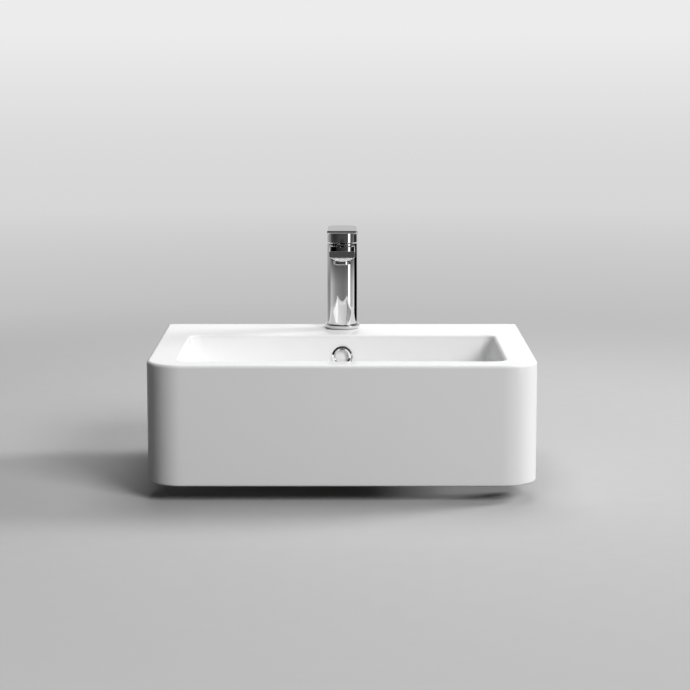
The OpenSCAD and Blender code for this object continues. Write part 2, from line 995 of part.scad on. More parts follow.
module waste_lower_seal() {
    color([0.15, 0.15, 0.15])
        at_waste()
            tube(lower_seal_d, waste_d + 2 * fit_gap, boss_z - lower_seal_t, boss_z);
}

module waste_washer() {
    top = boss_z - lower_seal_t;
    color([0.85, 0.85, 0.8])
        at_waste()
            tube(washer_d, waste_d + 2 * thread_gap, top - washer_t, top);
}

module waste_nut() {
    top = boss_z - lower_seal_t - washer_t;
    color([0.75, 0.62, 0.3])
        at_waste()
            difference() {
                tube(waste_nut_d, waste_d + 2 * thread_gap, top - waste_nut_t, top);
                for (turn = [0 : 360 / grip_count : 359])
                    rotate([0, 0, turn])
                        translate([waste_nut_d / 2 + grip_set, 0, 0])
                            rod(grip_d, top - waste_nut_t - cut, top + cut);
            }
}

// Waste: sleeve of the push catch, screwed into the spider
module waste_sleeve() {
    color([0.85, 0.85, 0.88])
        at_waste()
            difference() {
                union() {
                    rod(stud_end_d, spider_z, spider_z + spider_t);
                    rod(sleeve_d, spider_z + spider_t, sleeve_top);
                }
                rod(sleeve_end_bore_d, spider_z + sleeve_floor, sleeve_top + cut);
                rod(sleeve_bore_d, spider_z + spider_t + sleeve_floor, sleeve_top + cut);
            }
}

module waste_plunger() {
    color([0.9, 0.9, 0.92])
        at_waste() {
            rod(sleeve_bore_d - 2 * fit_gap, plunger_low, cap_low);
            rod(plunger_rim_d, cap_seal_low - plunger_rim_t, cap_seal_low);
            rod(plunger_head_d, cap_seal_low, cap_low);
        }
}

module waste_cap() {
    color([0.8, 0.8, 0.82])
        at_waste() {
            rod(cap_d, cap_low, cap_low + cap_t - cap_edge);
            translate([0, 0, cap_low + cap_t - cap_edge])
                cylinder(r1 = cap_d / 2, r2 = cap_d / 2 - cap_edge, h = cap_edge);
            tube(cap_spigot_d, plunger_head_d + 2 * fit_gap, cap_seal_top, cap_low);
        }
}

module waste_cap_seal() {
    color([0.15, 0.15, 0.15])
        at_waste()
            tube(cap_seal_d, plunger_head_d + 2 * fit_gap, cap_seal_low, cap_seal_top);
}

basin();
overflow_ring();
tap_body();
tap_base_ring();
tap_base_seal();
tap_stud();
clamp_seal();
clamp_plate();
clamp_nut();
cartridge_can();
cartridge_seal();
cartridge_fixed_disc();
cartridge_moving_disc();
cartridge_swivel();
cartridge_pin();
cartridge_lever();
cartridge_nut();
tap_cover();
tap_handle();
handle_screw();
handle_plug();
aerator_housing();
aerator_insert();
aerator_seal();
waste_body();
waste_upper_seal();
waste_lower_seal();
waste_washer();
waste_nut();
waste_sleeve();
waste_plunger();
waste_cap();
waste_cap_seal();
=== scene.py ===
"""Looks of a semi-recessed basin with a mono mixer tap and a slotted push waste.

Everything is in metres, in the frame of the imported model: +Z is up, z = 0 is the seat
under the basin's rear block, y = 0 is its back face, and the front faces -Y.
"""

import math

import bmesh
import bpy
import numpy as np
from bpy.props import FloatProperty, FloatVectorProperty, PointerProperty
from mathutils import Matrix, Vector


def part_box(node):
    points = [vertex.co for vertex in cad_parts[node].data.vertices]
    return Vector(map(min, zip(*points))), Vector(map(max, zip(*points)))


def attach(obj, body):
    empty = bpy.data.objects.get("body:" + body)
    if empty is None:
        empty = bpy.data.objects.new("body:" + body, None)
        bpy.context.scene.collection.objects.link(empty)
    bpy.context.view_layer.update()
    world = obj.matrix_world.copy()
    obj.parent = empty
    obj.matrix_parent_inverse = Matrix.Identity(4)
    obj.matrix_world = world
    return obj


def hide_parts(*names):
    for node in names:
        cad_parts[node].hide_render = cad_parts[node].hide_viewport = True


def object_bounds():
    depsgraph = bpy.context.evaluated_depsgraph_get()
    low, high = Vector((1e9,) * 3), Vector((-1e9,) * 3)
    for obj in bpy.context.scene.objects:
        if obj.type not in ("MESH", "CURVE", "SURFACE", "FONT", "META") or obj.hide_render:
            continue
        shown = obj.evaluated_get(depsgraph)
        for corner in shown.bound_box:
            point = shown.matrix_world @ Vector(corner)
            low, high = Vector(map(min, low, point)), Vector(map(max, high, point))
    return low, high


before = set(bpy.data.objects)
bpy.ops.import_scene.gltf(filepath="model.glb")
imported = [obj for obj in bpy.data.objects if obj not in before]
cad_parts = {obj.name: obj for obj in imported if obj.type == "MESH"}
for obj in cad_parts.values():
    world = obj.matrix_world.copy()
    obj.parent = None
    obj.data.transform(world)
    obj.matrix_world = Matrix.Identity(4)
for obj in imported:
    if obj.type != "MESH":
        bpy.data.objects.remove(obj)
CAD_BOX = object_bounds()

bl_info = {
    "name": "Semi-recessed basin",
    "version": (1, 0, 0),
    "blender": (4, 5, 0),
    "location": "3D View > Sidebar > Basin",
    "description": "Builds the finished look of a semi-recessed basin, its tap and its waste",
    "category": "Object",
}

MM = 0.001

# Merging distance for points that meet, and the angle up to which neighbouring faces are one flat
WELD = 1e-6
FLAT_ANGLE = math.radians(0.5)

# Places that the frame gives
BASIN_LOW, BASIN_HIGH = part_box("basin")
BODY_LOW, BODY_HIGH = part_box("tap_body")
RING_LOW, RING_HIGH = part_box("tap_base_ring")
HANDLE_LOW, HANDLE_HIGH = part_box("tap_handle")
COLLAR_LOW, COLLAR_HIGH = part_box("aerator_housing")
WASTE_LOW, WASTE_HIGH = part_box("waste_body")
CAP_LOW, CAP_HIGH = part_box("waste_cap")
TAP_Y = (RING_LOW.y + RING_HIGH.y) / 2
WASTE_Y = (WASTE_LOW.y + WASTE_HIGH.y) / 2
AERATOR_Y = (COLLAR_LOW.y + COLLAR_HIGH.y) / 2
COLUMN_R = (HANDLE_HIGH.x - HANDLE_LOW.x) / 2
SUMP_Z = WASTE_HIGH.z


def length(name, description, millimetres):
    """A length for the panel."""
    return FloatProperty(
        name=name, description=description, default=millimetres * MM, subtype="DISTANCE", unit="LENGTH"
    )


def tint(name, description, *default):
    """A colour for the panel, as linear values."""
    return FloatVectorProperty(name=name, description=description, default=default, subtype="COLOR")


def grey(name, description, default):
    """A grey for the panel, from black at 0 to white at 1."""
    return FloatProperty(
        name=name, description=description, default=default, min=0.0, max=1.0, subtype="FACTOR"
    )


def watts(name, description, default):
    """A lamp's power for the panel."""
    return FloatProperty(name=name, description=description, default=default, unit="POWER")


class BasinSizes(bpy.types.PropertyGroup):
    """Sizes of the china that the frame's boxes don't give."""

    front_radius: length("Front corners", "Plan radius of the upright front corners", 46)
    edge_radius: length("Rim edge", "Radius of the rim's outer edge", 4.5)
    lip_radius: length("Bowl lip", "Radius of the rounded lip around the bowl", 4)
    wall: length("Wall", "Thickness of the outer walls", 12)
    deck: length("Deck", "Thickness of the rim and of the tap ledge", 14)
    skirt_depth: length("Skirt depth", "Front to back size of the front part that hangs below the seat", 80)
    mouth_width: length("Bowl width", "Width of the bowl at the rim", 418)
    mouth_length: length("Bowl length", "Length of the bowl at the rim, back to front", 228)
    mouth_radius: length("Bowl corners", "Plan radius of the bowl's corners at the rim", 16)
    front_rim: length("Front rim", "Width of the rim in front of the bowl", 35)
    lean: length("Bowl lean", "How far the bowl's walls lean in on their way down", 6)
    bowl_depth: length("Bowl depth", "Depth of the bowl's floor below the rim", 104)
    cove: length("Cove", "Radius between the bowl's walls and its floor", 20)
    floor_radius: length("Floor corners", "Plan radius of the bowl's corners at the floor", 22)
    shell: length("Shell", "Thickness of the bowl's shell", 11)
    overflow_drop: length("Overflow drop", "Depth of the overflow's centre below the rim", 30)


class Finishes(bpy.types.PropertyGroup):
    """Colours of the finishes, as linear values."""

    glaze: tint("Glaze", "Colour of the glazed china", 0.87, 0.87, 0.87)
    # The unglazed china's colour is darker than bare bisque: it also stands as painted shade inside the
    # overflow's channel
    bisque: tint("Bisque", "Colour of the china where it isn't glazed", 0.62, 0.595, 0.55)
    chrome: tint("Chrome", "Colour of the polished chrome plate", 0.8, 0.8, 0.8)
    steel: tint("Steel", "Colour of the steel fixings", 0.55, 0.55, 0.56)
    brass: tint("Brass", "Colour of the bare brass fittings", 0.52, 0.4, 0.22)
    rubber: tint("Rubber", "Colour of the seals", 0.02, 0.02, 0.021)
    plastic: tint(
        "White plastic", "Colour of the cartridge and of the waste's plastic parts", 0.76, 0.76, 0.73
    )
    grey_plastic: tint(
        "Grey plastic", "Colour of the aerator's insert and of the handle's plug", 0.16, 0.16, 0.17
    )
    ceramic: tint("Valve ceramic", "Colour of the cartridge's ground discs", 0.8, 0.79, 0.75)


class StageLook(bpy.types.PropertyGroup):
    """The camera, the lamps and the backdrop."""

    focal_length: FloatProperty(
        name="Focal length",
        description="Focal length of the camera in millimetres, on a 36 mm sensor",
        default=107.92,
        unit="CAMERA",
    )
    camera_place: FloatVectorProperty(
        name="Camera",
        description="Place of the camera",
        default=(0.00388, -2.94466, 0.49716),
        subtype="TRANSLATION",
        unit="LENGTH",
    )
    camera_pitch: FloatProperty(
        name="Pitch",
        description="How far the camera looks down",
        default=math.radians(8.656),
        subtype="ANGLE",
        unit="ROTATION",
    )
    key_strength: watts("Key", "Power of the large soft lamp in front on the right", 228.0)
    side_strength: watts("Side", "Power of the soft lamp on the right, a little behind", 195.0)
    top_strength: watts("Top", "Power of the softbox above", 24.0)
    fill: grey("Fill", "Brightness of the room around the object", 0.06)
    floor_colour: grey("Floor", "Grey of the floor near the object", 0.5)
    floor_bounce: grey("Floor bounce", "Grey of the floor as far as it lights the object from below", 0.12)
    backdrop_near: grey("Backdrop near", "Grey of the floor where it starts to turn into the backdrop", 0.48)
    backdrop_far: grey("Backdrop far", "Grey of the backdrop where the floor ends", 0.74)
    backdrop_high: grey("Backdrop high", "Grey of the backdrop at the horizon", 0.84)
    backdrop_top: grey(
        "Backdrop top", "Grey of the backdrop above the picture, which level mirrors show", 0.55
    )
    ceiling: grey("Ceiling", "Grey of the room overhead, which the tops of rounded edges show", 0.2)


# Profiles and paths


def unit(vector):
    """The vector or vectors at length one."""
    return vector / np.linalg.norm(vector, axis=-1, keepdims=True)


def rounded(corners, radius=None, steps=6, closed=False):
    """A line through corners whose bends are circular arcs.

    Corners are (x, y, radius), or (x, y) with one radius for all. An arc touches both sides of its
    bend at radius / tan(half the bend's angle) from the corner. A point half a radius off each end
    of an arc keeps the flat beyond it flat when shaded.
    """
    corners = np.array(corners, float)
    count = len(corners)
    radii = corners[:, 2].copy() if radius is None else np.full(count, float(radius))
    corners = corners[:, :2]
    if not closed:
        radii[[0, -1]] = 0.0
    back = unit(np.roll(corners, 1, 0) - corners)
    ahead = unit(np.roll(corners, -1, 0) - corners)
    half = np.arccos(np.clip((back * ahead).sum(1), -1.0, 1.0)) / 2
    set_back = np.where(radii > 0, radii / np.tan(np.maximum(half, WELD)), 0.0)
    sides = np.linalg.norm(np.roll(corners, -1, 0) - corners, axis=1)
    spare = sides - set_back - np.roll(set_back, -1)
    points = []
    for i in range(count):
        if radii[i] == 0:
            points.append(corners[i : i + 1])
            continue
        start = corners[i] + back[i] * set_back[i]
        end = corners[i] + ahead[i] * set_back[i]
        centre = corners[i] + unit(back[i] + ahead[i]) * radii[i] / np.sin(half[i])
        first = math.atan2(*(start - centre)[::-1])
        turn = math.atan2(*(end - centre)[::-1]) - first
        turn = (turn + math.pi) % math.tau - math.pi
        a = first + turn * np.linspace(0, 1, num=steps + 1)
        bend = centre + radii[i] * np.column_stack([np.cos(a), np.sin(a)])
        before = min(radii[i] / 2, spare[i - 1] / 3)
        after = min(radii[i] / 2, spare[i] / 3)
        if before > WELD:
            points.append((start + back[i] * before)[None])
        points.append(bend)
        if after > WELD:
            points.append((end + ahead[i] * after)[None])
    return np.vstack(points)


def turned(profile, origin, sides=96, axes=None, angles=None):
    """Rows of points of a turned shape: a profile of (radius, height) pairs carried round an axis.

    A point is origin + r cos(a) X + r sin(a) Y + h Z, where X, Y and Z are the axes.
    """
    axes = np.eye(3) if axes is None else axes
    a = np.linspace(0, math.tau, num=sides, endpoint=False) if angles is None else angles
    ring = np.cos(a)[:, None] * axes[0] + np.sin(a)[:, None] * axes[1]
    r, h = np.asarray(profile, float).T
    return np.asarray(origin) + r[:, None, None] * ring + h[:, None, None] * axes[2]


def piped(path, radii, angles):
    """Rings of a round tube whose path of (y, z) points lies in the plane x = 0.

    A ring stands square to the path: p + r cos(a) X + r sin(a) N, with N the path's normal there.
    """
    along = unit(np.gradient(path, axis=0))
    centre = np.column_stack([np.zeros(len(path)), path])
    normal = np.column_stack([np.zeros(len(path)), -along[:, 1], along[:, 0]])
    side = np.array([1.0, 0.0, 0.0])
    ring = np.cos(angles)[:, None] * side + np.sin(angles)[:, None] * normal[:, None, :]
    return centre[:, None, :] + np.reshape(radii, (-1, 1, 1)) * ring


def threaded(radius, depth, pitch, low, high, sides, steps=6):
    """Radii and heights of a threaded rod, in rows from low to high.

    The radius falls by depth times a triangle wave of height / pitch + angle / a full turn, and the
    wave fades out over one pitch at both ends.
    """
    rows = max(int(round((high - low) / pitch * steps)), 2)
    h = np.linspace(low, high, num=rows + 1)[:, None]
    a = np.linspace(0, 1, num=sides, endpoint=False)[None]
    wave = np.abs((h / pitch + a) % 1.0 - 0.5) * 2.0
    fade = np.clip(np.minimum(h - low, high - h) / pitch, 0.0, 1.0)
    return radius - depth * wave * fade, np.broadcast_to(h, (rows + 1, sides))


def ring_points(r, h, origin):
    """Points of rings whose radius may change round the axis: x = r cos(a), y = r sin(a), z = h."""
    a = np.linspace(0, math.tau, num=r.shape[1], endpoint=False)[None]
    points = np.stack([r * np.cos(a), r * np.sin(a), h + 0 * a], axis=-1)
    return points + np.asarray(origin)


def box_section(inner, outer, low, high):
    """Corners of a ring's section with upright sides."""
    return [(inner, low), (outer, low), (outer, high), (inner, high)]


class Skin:
    """Points and faces of one piece, gathered grid by grid."""

    def __init__(self):
        self.points = []
        self.faces = []
        self.finishes = []
        self.total = 0

    def add(self, points):
        """Adds points and gives their numbers, in the same rows and columns."""
        shape = points.shape[:-1]
        self.points.append(points.reshape(-1, 3))
        numbers = self.total + np.arange(int(np.prod(shape))).reshape(shape)
        self.total += numbers.size
        return numbers

    def quads(self, numbers, finish=0, around=True, windows=()):
        """A quad between each four neighbours, except in windows of (top, bottom, left, right)."""
        if around:
            numbers = np.hstack([numbers, numbers[:, :1]])
        corners = [numbers[:-1, :-1], numbers[:-1, 1:], numbers[1:, 1:], numbers[1:, :-1]]
        quads = np.stack(corners, axis=-1)
        keep = np.ones(quads.shape[:2], bool)
        for top, bottom, left, right in windows:
            keep[top:bottom, left:right] = False
        self.faces.extend(quads[keep].tolist())
        finishes = np.broadcast_to(np.reshape(finish, (-1, 1)), keep.shape)[keep]
        self.finishes.extend(finishes.tolist())

    def face(self, numbers, finish=0):
        """One flat face with many corners."""
        self.faces.append([int(n) for n in numbers])
        self.finishes.append(finish)

    def ends(self, numbers, finish=0):
        """Closes the first and the last row with a flat face each."""
        self.face(numbers[0], finish)
        self.face(numbers[-1][::-1], finish)

    def sheet(self, points, finish=0):
        """Adds rows of points with the quads between them."""
        numbers = self.add(points)
        self.quads(numbers, finish)
        return numbers

    def solid(self, points):
        """Adds rows that close on themselves, as a ring with a closed section does."""
        numbers = self.add(points)
        self.quads(np.vstack([numbers, numbers[:1]]))

    def build(self, name, sharp=32.0):
        """Welds the points, turns the faces outwards and makes the object."""
        mesh = bpy.data.meshes.new(name)
        mesh.from_pydata(np.vstack(self.points).tolist(), [], self.faces)
        mesh.polygons.foreach_set("material_index", self.finishes)
        form = welded(mesh)
        bmesh.ops.recalc_face_normals(form, faces=form.faces)
        return finished(form, name, mesh, sharp)


def welded(mesh):
    """The mesh for editing, with its points merged."""
    form = bmesh.new()
    form.from_mesh(mesh)
    bmesh.ops.remove_doubles(form, verts=form.verts, dist=WELD)
    bmesh.ops.dissolve_degenerate(form, edges=form.edges, dist=WELD)
    return form


def finished(form, name, mesh, sharp=32.0):
    """An object from the edited mesh, shaded smooth up to the angle."""
    form.to_mesh(mesh)
    form.free()
    mesh.shade_smooth()
    mesh.set_sharp_from_angle(angle=math.radians(sharp))
    return linked(name, mesh)


def linked(name, data):
    """An object for the mesh, the lamp or the camera, at the origin."""
    thing = bpy.data.objects.new(name, data)
    bpy.context.scene.collection.objects.link(thing)
    return thing


def turned_piece(name, section, origin, sides, sharp):
    """A piece that is one closed section carried round an upright axis."""
    skin = Skin()
    skin.solid(turned(section, origin, sides))
    return skin.build(name, sharp)


def rim_of(numbers, window):
    """The numbers round a window's edge, in order."""
    top, bottom, left, right = window
    sides = [
        numbers[top, left:right],
        numbers[top:bottom, right],
        numbers[bottom, right:left:-1],
        numbers[bottom:top:-1, left],
    ]
    return np.concatenate(sides)


def soften(thing, width, angle=50.0, segments=3):
    """Rounds the edges that bend by more than the angle, and keeps the flats flat when shaded."""
    bevel = thing.modifiers.new("edges", "BEVEL")
    bevel.width = width
    bevel.segments = segments
    bevel.limit_method = "ANGLE"
    bevel.angle_limit = math.radians(angle)
    bevel.harden_normals = True
    bevel.miter_outer = "MITER_ARC"


def settle(thing, body, slot, nodes, *finishes):
    """Gives a piece its finishes and its place in the frame."""
    thing.data.materials.clear()
    for finish in finishes:
        thing.data.materials.append(material(finish))
    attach(thing, body)
    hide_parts(*nodes)


def dressed(node, name, edge):
    """A copy of a node's mesh with its points merged, its flats joined and its edges rounded."""
    form = welded(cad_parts[node].data)
    bmesh.ops.dissolve_limit(form, angle_limit=FLAT_ANGLE, verts=form.verts, edges=form.edges)
    thing = finished(form, name, bpy.data.meshes.new(name))
    soften(thing, edge, angle=40.0, segments=2)
    return thing


# Finishes


class Nodes:
    """The node tree of a material or a world, filled node by node."""

    def __init__(self, owner):
        owner.use_nodes = True
        self.tree = owner.node_tree
        self.tree.nodes.clear()

    def feed(self, node, name, value):
        """Links an input to an output, or sets it."""
        if isinstance(value, bpy.types.NodeSocket):
            self.tree.links.new(value, node.inputs[name])
        else:
            node.inputs[name].default_value = value

    def add(self, kind, inputs, **settings):
        """A node with its settings and its inputs, by name or place."""
        node = self.tree.nodes.new("ShaderNode" + kind)
        for name, value in settings.items():
            setattr(node, name, value)
        for name, value in inputs.items():
            self.feed(node, name, value)
        return node

    def ramp(self, source, *stops):
        """A colour that runs through stops of (position, colour), in order, by the source."""
        node = self.add("ValToRGB", {"Fac": source})
        elements = node.color_ramp.elements
        for number, (position, colour) in enumerate(stops):
            if number == len(elements):
                elements.new(1.0)
            elements[number].position = position
            elements[number].color = (*colour, 1)
        return node.outputs["Color"]

    def greys(self, source, stops):
        """A grey that runs through stops of (position, grey) by the source."""
        return self.ramp(source, *((position, (tone,) * 3) for position, tone in stops))

    def ranged(self, source, start, end, low=0.0, high=1.0, **settings):
        """A value that runs from low to high while the source runs from start to end."""
        limits = {"From Min": start, "From Max": end, "To Min": low, "To Max": high}
        return self.add("MapRange", {"Value": source, **limits}, **settings).outputs["Result"]

    def seen_by(self, *kinds):
        """One on rays from the camera and on rays of the other kinds, else zero."""
        rays = self.add("LightPath", {})
        share = rays.outputs["Is Camera Ray"]
        for kind in kinds:
            larger = {0: share, 1: rays.outputs[f"Is {kind} Ray"]}
            share = self.add("Math", larger, operation="MAXIMUM").outputs["Value"]
        return share


class Finish(Nodes):
    """A material with one shader, whose patterns follow the Object coordinates."""

    # Values of the noise between which patches and gloss change
    cloud_low, cloud_high = 0.35, 0.65
    grain_low, grain_high = 0.3, 0.7

    def __init__(self, name):
        self.made = bpy.data.materials.new(name)
        super().__init__(self.made)
        self.shader = self.add("BsdfPrincipled", {})
        self.place = self.add("TexCoord", {}).outputs["Object"]
        self.output = self.add("OutputMaterial", {"Surface": self.shader.outputs["BSDF"]})

    def set(self, name, value):
        """Sets or links one of the shader's inputs."""
        self.feed(self.shader, name, value)

    def noise(self, scale, detail=3.0, stretch=(1, 1, 1)):
        """A noise, stretched along the axes."""
        turn = self.add("Mapping", {"Vector": self.place, "Scale": stretch})
        inputs = {"Vector": turn.outputs["Vector"], "Scale": scale, "Detail": detail}
        return self.add("TexNoise", inputs).outputs["Fac"]

    def clouded(self, colour, share, cloud):
        """The colour, in patches down to a share of itself."""
        darker = tuple(channel * share for channel in colour)
        return self.ramp(cloud, (self.cloud_low, darker), (self.cloud_high, colour))

    def gloss(self, name, grain, low, high):
        """Lets a roughness of the shader run from low to high by the grain."""
        self.set(name, self.ranged(grain, self.grain_low, self.grain_high, low, high))

    def raised(self, grain, distance, strength=0.5):
        """Raises the surface by the grain."""
        inputs = {"Height": grain, "Distance": distance, "Strength": strength}
        normal = self.add("Bump", inputs).outputs["Normal"]
        self.set("Normal", normal)
        return normal


def material(name):
    """The finish of that name, made on its first use."""
    if name not in bpy.data.materials:
        FINISH_MAKERS[name](Finish(name), getattr(bpy.context.scene.basin_finishes, name))
    return bpy.data.materials[name]


def glaze(finish, colour):
    """White glaze: glassy, with the faint ripple of fired china and slightly uneven gloss."""
    cloud = finish.noise(scale=9.0)
    finish.set("Base Color", finish.clouded(colour, share=0.992, cloud=cloud))
    finish.gloss("Coat Roughness", cloud, low=0.03, high=0.06)
    finish.set("Coat Weight", 0.5)
    finish.set("Specular IOR Level", 0.0)
    ripple = finish.noise(scale=70.0, detail=2.0)
    finish.set("Coat Normal", finish.raised(ripple, distance=0.02 * MM))


def bisque(finish, colour):
    """Unglazed china: matt, warmer, with fine grains and cloudy patches. Its colour is kept darker than bare
    china, so that it also paints the shade inside the overflow's channel.
    """
    grain = finish.noise(scale=900.0, detail=4.0)
    cloud = finish.noise(scale=14.0)
    finish.set("Base Color", finish.clouded(colour, share=0.93, cloud=cloud))
    finish.gloss("Roughness", grain, low=0.62, high=0.85)
    finish.raised(grain, distance=0.15 * MM, strength=0.6)


def chrome(finish, colour):
    """Polished chrome plate: a clear mirror with faint wiping marks in its gloss."""
    wipe = finish.noise(scale=45.0, detail=4.0, stretch=(1.0, 1.0, 0.35))
    finish.set("Base Color", finish.clouded(colour, share=0.985, cloud=wipe))
    finish.gloss("Roughness", wipe, low=0.02, high=0.045)
    finish.set("Metallic", 1.0)


def machined(finish, colour, low, high):
    """Turned or drawn metal: fine lines round the upright axis in its gloss and relief."""
    lines = finish.noise(scale=900.0, stretch=(0.04, 0.04, 1.0))
    cloud = finish.noise(scale=60.0)
    finish.set("Base Color", finish.clouded(colour, share=0.86, cloud=cloud))
    finish.gloss("Roughness", lines, low, high)
    finish.set("Metallic", 1.0)
    finish.raised(lines, distance=0.02 * MM)


def steel(finish, colour):
    """Zinc plated steel."""
    machined(finish, colour, low=0.28, high=0.42)


def brass(finish, colour):
    """Bare turned brass, a little dulled."""
    machined(finish, colour, low=0.2, high=0.38)


def moulded(finish, colour, low, high, relief=0.03):
    """Moulded plastic, rubber or ceramic: a fine skin texture with uneven gloss."""
    skin = finish.noise(scale=600.0, detail=4.0)
    cloud = finish.noise(scale=35.0)
    finish.set("Base Color", finish.clouded(colour, share=0.9, cloud=cloud))
    finish.gloss("Roughness", skin, low, high)
    finish.raised(skin, relief * MM)


def rubber(finish, colour):
    """Black rubber, matt and slightly dusty."""
    moulded(finish, colour, low=0.55, high=0.8, relief=0.06)


def plastic(finish, colour):
    """White acetal."""
    moulded(finish, colour, low=0.3, high=0.42)


def grey_plastic(finish, colour):
    """Grey moulded plastic."""
    moulded(finish, colour, low=0.35, high=0.5)


def ceramic(finish, colour):
    """Ground and lapped ceramic."""
    moulded(finish, colour, low=0.12, high=0.22, relief=0.01)


MAKERS = (glaze, bisque, chrome, steel, brass, rubber, plastic, grey_plastic, ceramic)
FINISH_MAKERS = {maker.__name__: maker for maker in MAKERS}


# Basin


# Every loop round the basin has the same columns: fixed ones near the middle, for the tap hole and
# the overflow, then shares of what is left up to the corners
FIXED_X = np.concatenate([np.arange(-60, -30, 5), np.arange(-30, 30, 2.5), np.arange(30, 60.1, 5)]) * MM
WING_SHARES = np.append(np.linspace(0, 1, num=12)[1:-1], [0.975, 1.0])
STEP_SHARE = 0.105
SIDE_SHARES = np.unique(np.append(np.linspace(0, 1, num=27), STEP_SHARE))
CORNER_STEPS = 24
SIDE_STEPS = len(SIDE_SHARES) - 1
REAR_START = SIDE_STEPS + CORNER_STEPS
STRAIGHT_STEPS = len(FIXED_X) - 1 + 2 * len(WING_SHARES)
RIGHT_KNEE = int(np.argmin(np.abs(SIDE_SHARES - STEP_SHARE)))
LEFT_KNEE = REAR_START + STRAIGHT_STEPS + CORNER_STEPS + SIDE_STEPS - RIGHT_KNEE


def straight(reach):
    """Places across a straight side, from -reach to reach."""
    wing = FIXED_X[-1] + (reach - FIXED_X[-1]) * WING_SHARES
    return np.concatenate([-wing[::-1], FIXED_X, wing])


def arc(x, y, radius, start, turn):
    """Points on a circle at the angles start + turn."""
    return np.column_stack([x + radius * np.cos(start + turn), y + radius * np.sin(start + turn)])


def outline(half, front, back, front_r, back_r, step=None):
    """A rectangle with rounded corners, as a loop from the right side's front end, seen from above.

    Straight sides keep the shared columns, corners are arcs in equal angles, and both sides have a
    point at y = step.
    """
    low = front + front_r
    high = back - back_r
    knee = low + STEP_SHARE * (high - low) if step is None else step
    side = np.interp(SIDE_SHARES, [0, STEP_SHARE, 1], [low, knee, high])
    turn = np.linspace(0, math.pi / 2, num=CORNER_STEPS + 1)[:-1]
    rear_x = straight(half - back_r)[::-1][:-1]
    front_x = straight(half - front_r)[:-1]
    parts = [
        np.column_stack([np.full(len(side) - 1, half), side[:-1]]),
        arc(half - back_r, high, back_r, 0, turn),
        np.column_stack([rear_x, np.full(len(rear_x), back)]),
        arc(back_r - half, high, back_r, math.pi / 2, turn),
        np.column_stack([np.full(len(side) - 1, -half), side[:0:-1]]),
        arc(front_r - half, low, front_r, math.pi, turn),
        np.column_stack([front_x, np.full(len(front_x), front)]),
        arc(half - front_r, low, front_r, 1.5 * math.pi, turn),
    ]
    return np.vstack(parts)


def rear_column(x):
    """The column of a loop that lies at x on its rear side."""
    return REAR_START + len(WING_SHARES) + int(np.argmin(np.abs(FIXED_X[::-1] - x)))


def at_height(loop, z):
    """A flat loop as points at one height."""
    return np.column_stack([loop, np.full(len(loop), z)])


def between(first, second, shares):
    """Loops between two loops, by share."""
    return [first + share * (second - first) for share in shares]


def fillet(steps):
    """Pairs (1 - cos a, sin a) for angles a from 0 to a right angle."""
    a = np.linspace(0, math.pi / 2, num=steps + 1)
    return zip(1 - np.cos(a), np.sin(a))


class BowlForm:
    """Loops of the bowl and places on its back wall, worked out from the sizes."""

    def __init__(self, sizes):
        self.sizes = sizes
        self.deck_z = BASIN_HIGH.z - sizes.deck
        self.top = BASIN_HIGH.z - sizes.lip_radius
        self.centre_y = BASIN_LOW.y + sizes.front_rim + sizes.mouth_length / 2
        self.spare = (sizes.mouth_width - sizes.mouth_length) / 2
        self.mouth = sizes.mouth_width / 2
        self.floor_z = BASIN_HIGH.z - sizes.bowl_depth
        self.core = self.mouth - sizes.lean - sizes.floor_radius
        self.tube = sizes.floor_radius - sizes.cove
        fall = self.top - self.floor_z - sizes.cove
        run = sizes.lean + sizes.cove
        self.angle = math.acos(sizes.cove / math.hypot(run, fall)) - math.atan2(fall, run)
        self.up = np.array([0.0, math.sin(self.angle), math.cos(self.angle)])
        self.into = np.array([0.0, math.cos(self.angle), -math.sin(self.angle)])

    def overflow(self):
        """Centre of the overflow on the leaning back wall."""
        drop = self.sizes.overflow_drop
        back = self.centre_y + self.sizes.mouth_length / 2
        y = back - (drop - self.sizes.lip_radius) * math.tan(self.angle)
        return np.array([0.0, y, BASIN_HIGH.z - drop])

    def loop(self, half, radius, z):
        """A level loop, whose length is always less than its width by the same amount."""
        reach = half - self.spare
        flat = outline(half, self.centre_y - reach, self.centre_y + reach, radius, radius)
        return at_height(flat, z)

    def cove(self, angle, grow=0.0):
        """The cove at an angle below level, 90 degrees being the floor."""
        radius = self.tube + (self.sizes.cove + grow) * math.cos(angle)
        height = self.floor_z + self.sizes.cove - (self.sizes.cove + grow) * math.sin(angle)
        return self.loop(self.core + radius, radius, height)

    def lip(self, angle):
        """The lip's arc at an angle, 90 degrees being the rim's top."""
        half = self.mouth + self.sizes.lip_radius * (1 + math.cos(angle))
        radius = half - self.mouth + self.sizes.mouth_radius
        return self.loop(half, radius, self.top + self.sizes.lip_radius * math.sin(angle))

    def wall(self, share, grow=0.0):
        """The leaning wall, from the cove at share 0 to the lip at share 1."""
        low = self.cove(self.angle, grow)
        high_half = self.mouth + self.sizes.lip_radius * (1 - math.cos(self.angle))
        high_r = high_half - self.mouth + self.sizes.mouth_radius + grow * math.cos(self.angle)
        height = self.top + (self.sizes.lip_radius - grow) * math.sin(self.angle)
        high = self.loop(high_half + grow * math.cos(self.angle), high_r, height)
        return low + share * (high - low)

    def wall_share(self, z, grow=0.0):
        """The share at which the wall is at height z."""
        low, high = (self.wall(share, grow)[0, 2] for share in (0.0, 1.0))
        return (z - low) / (high - low)


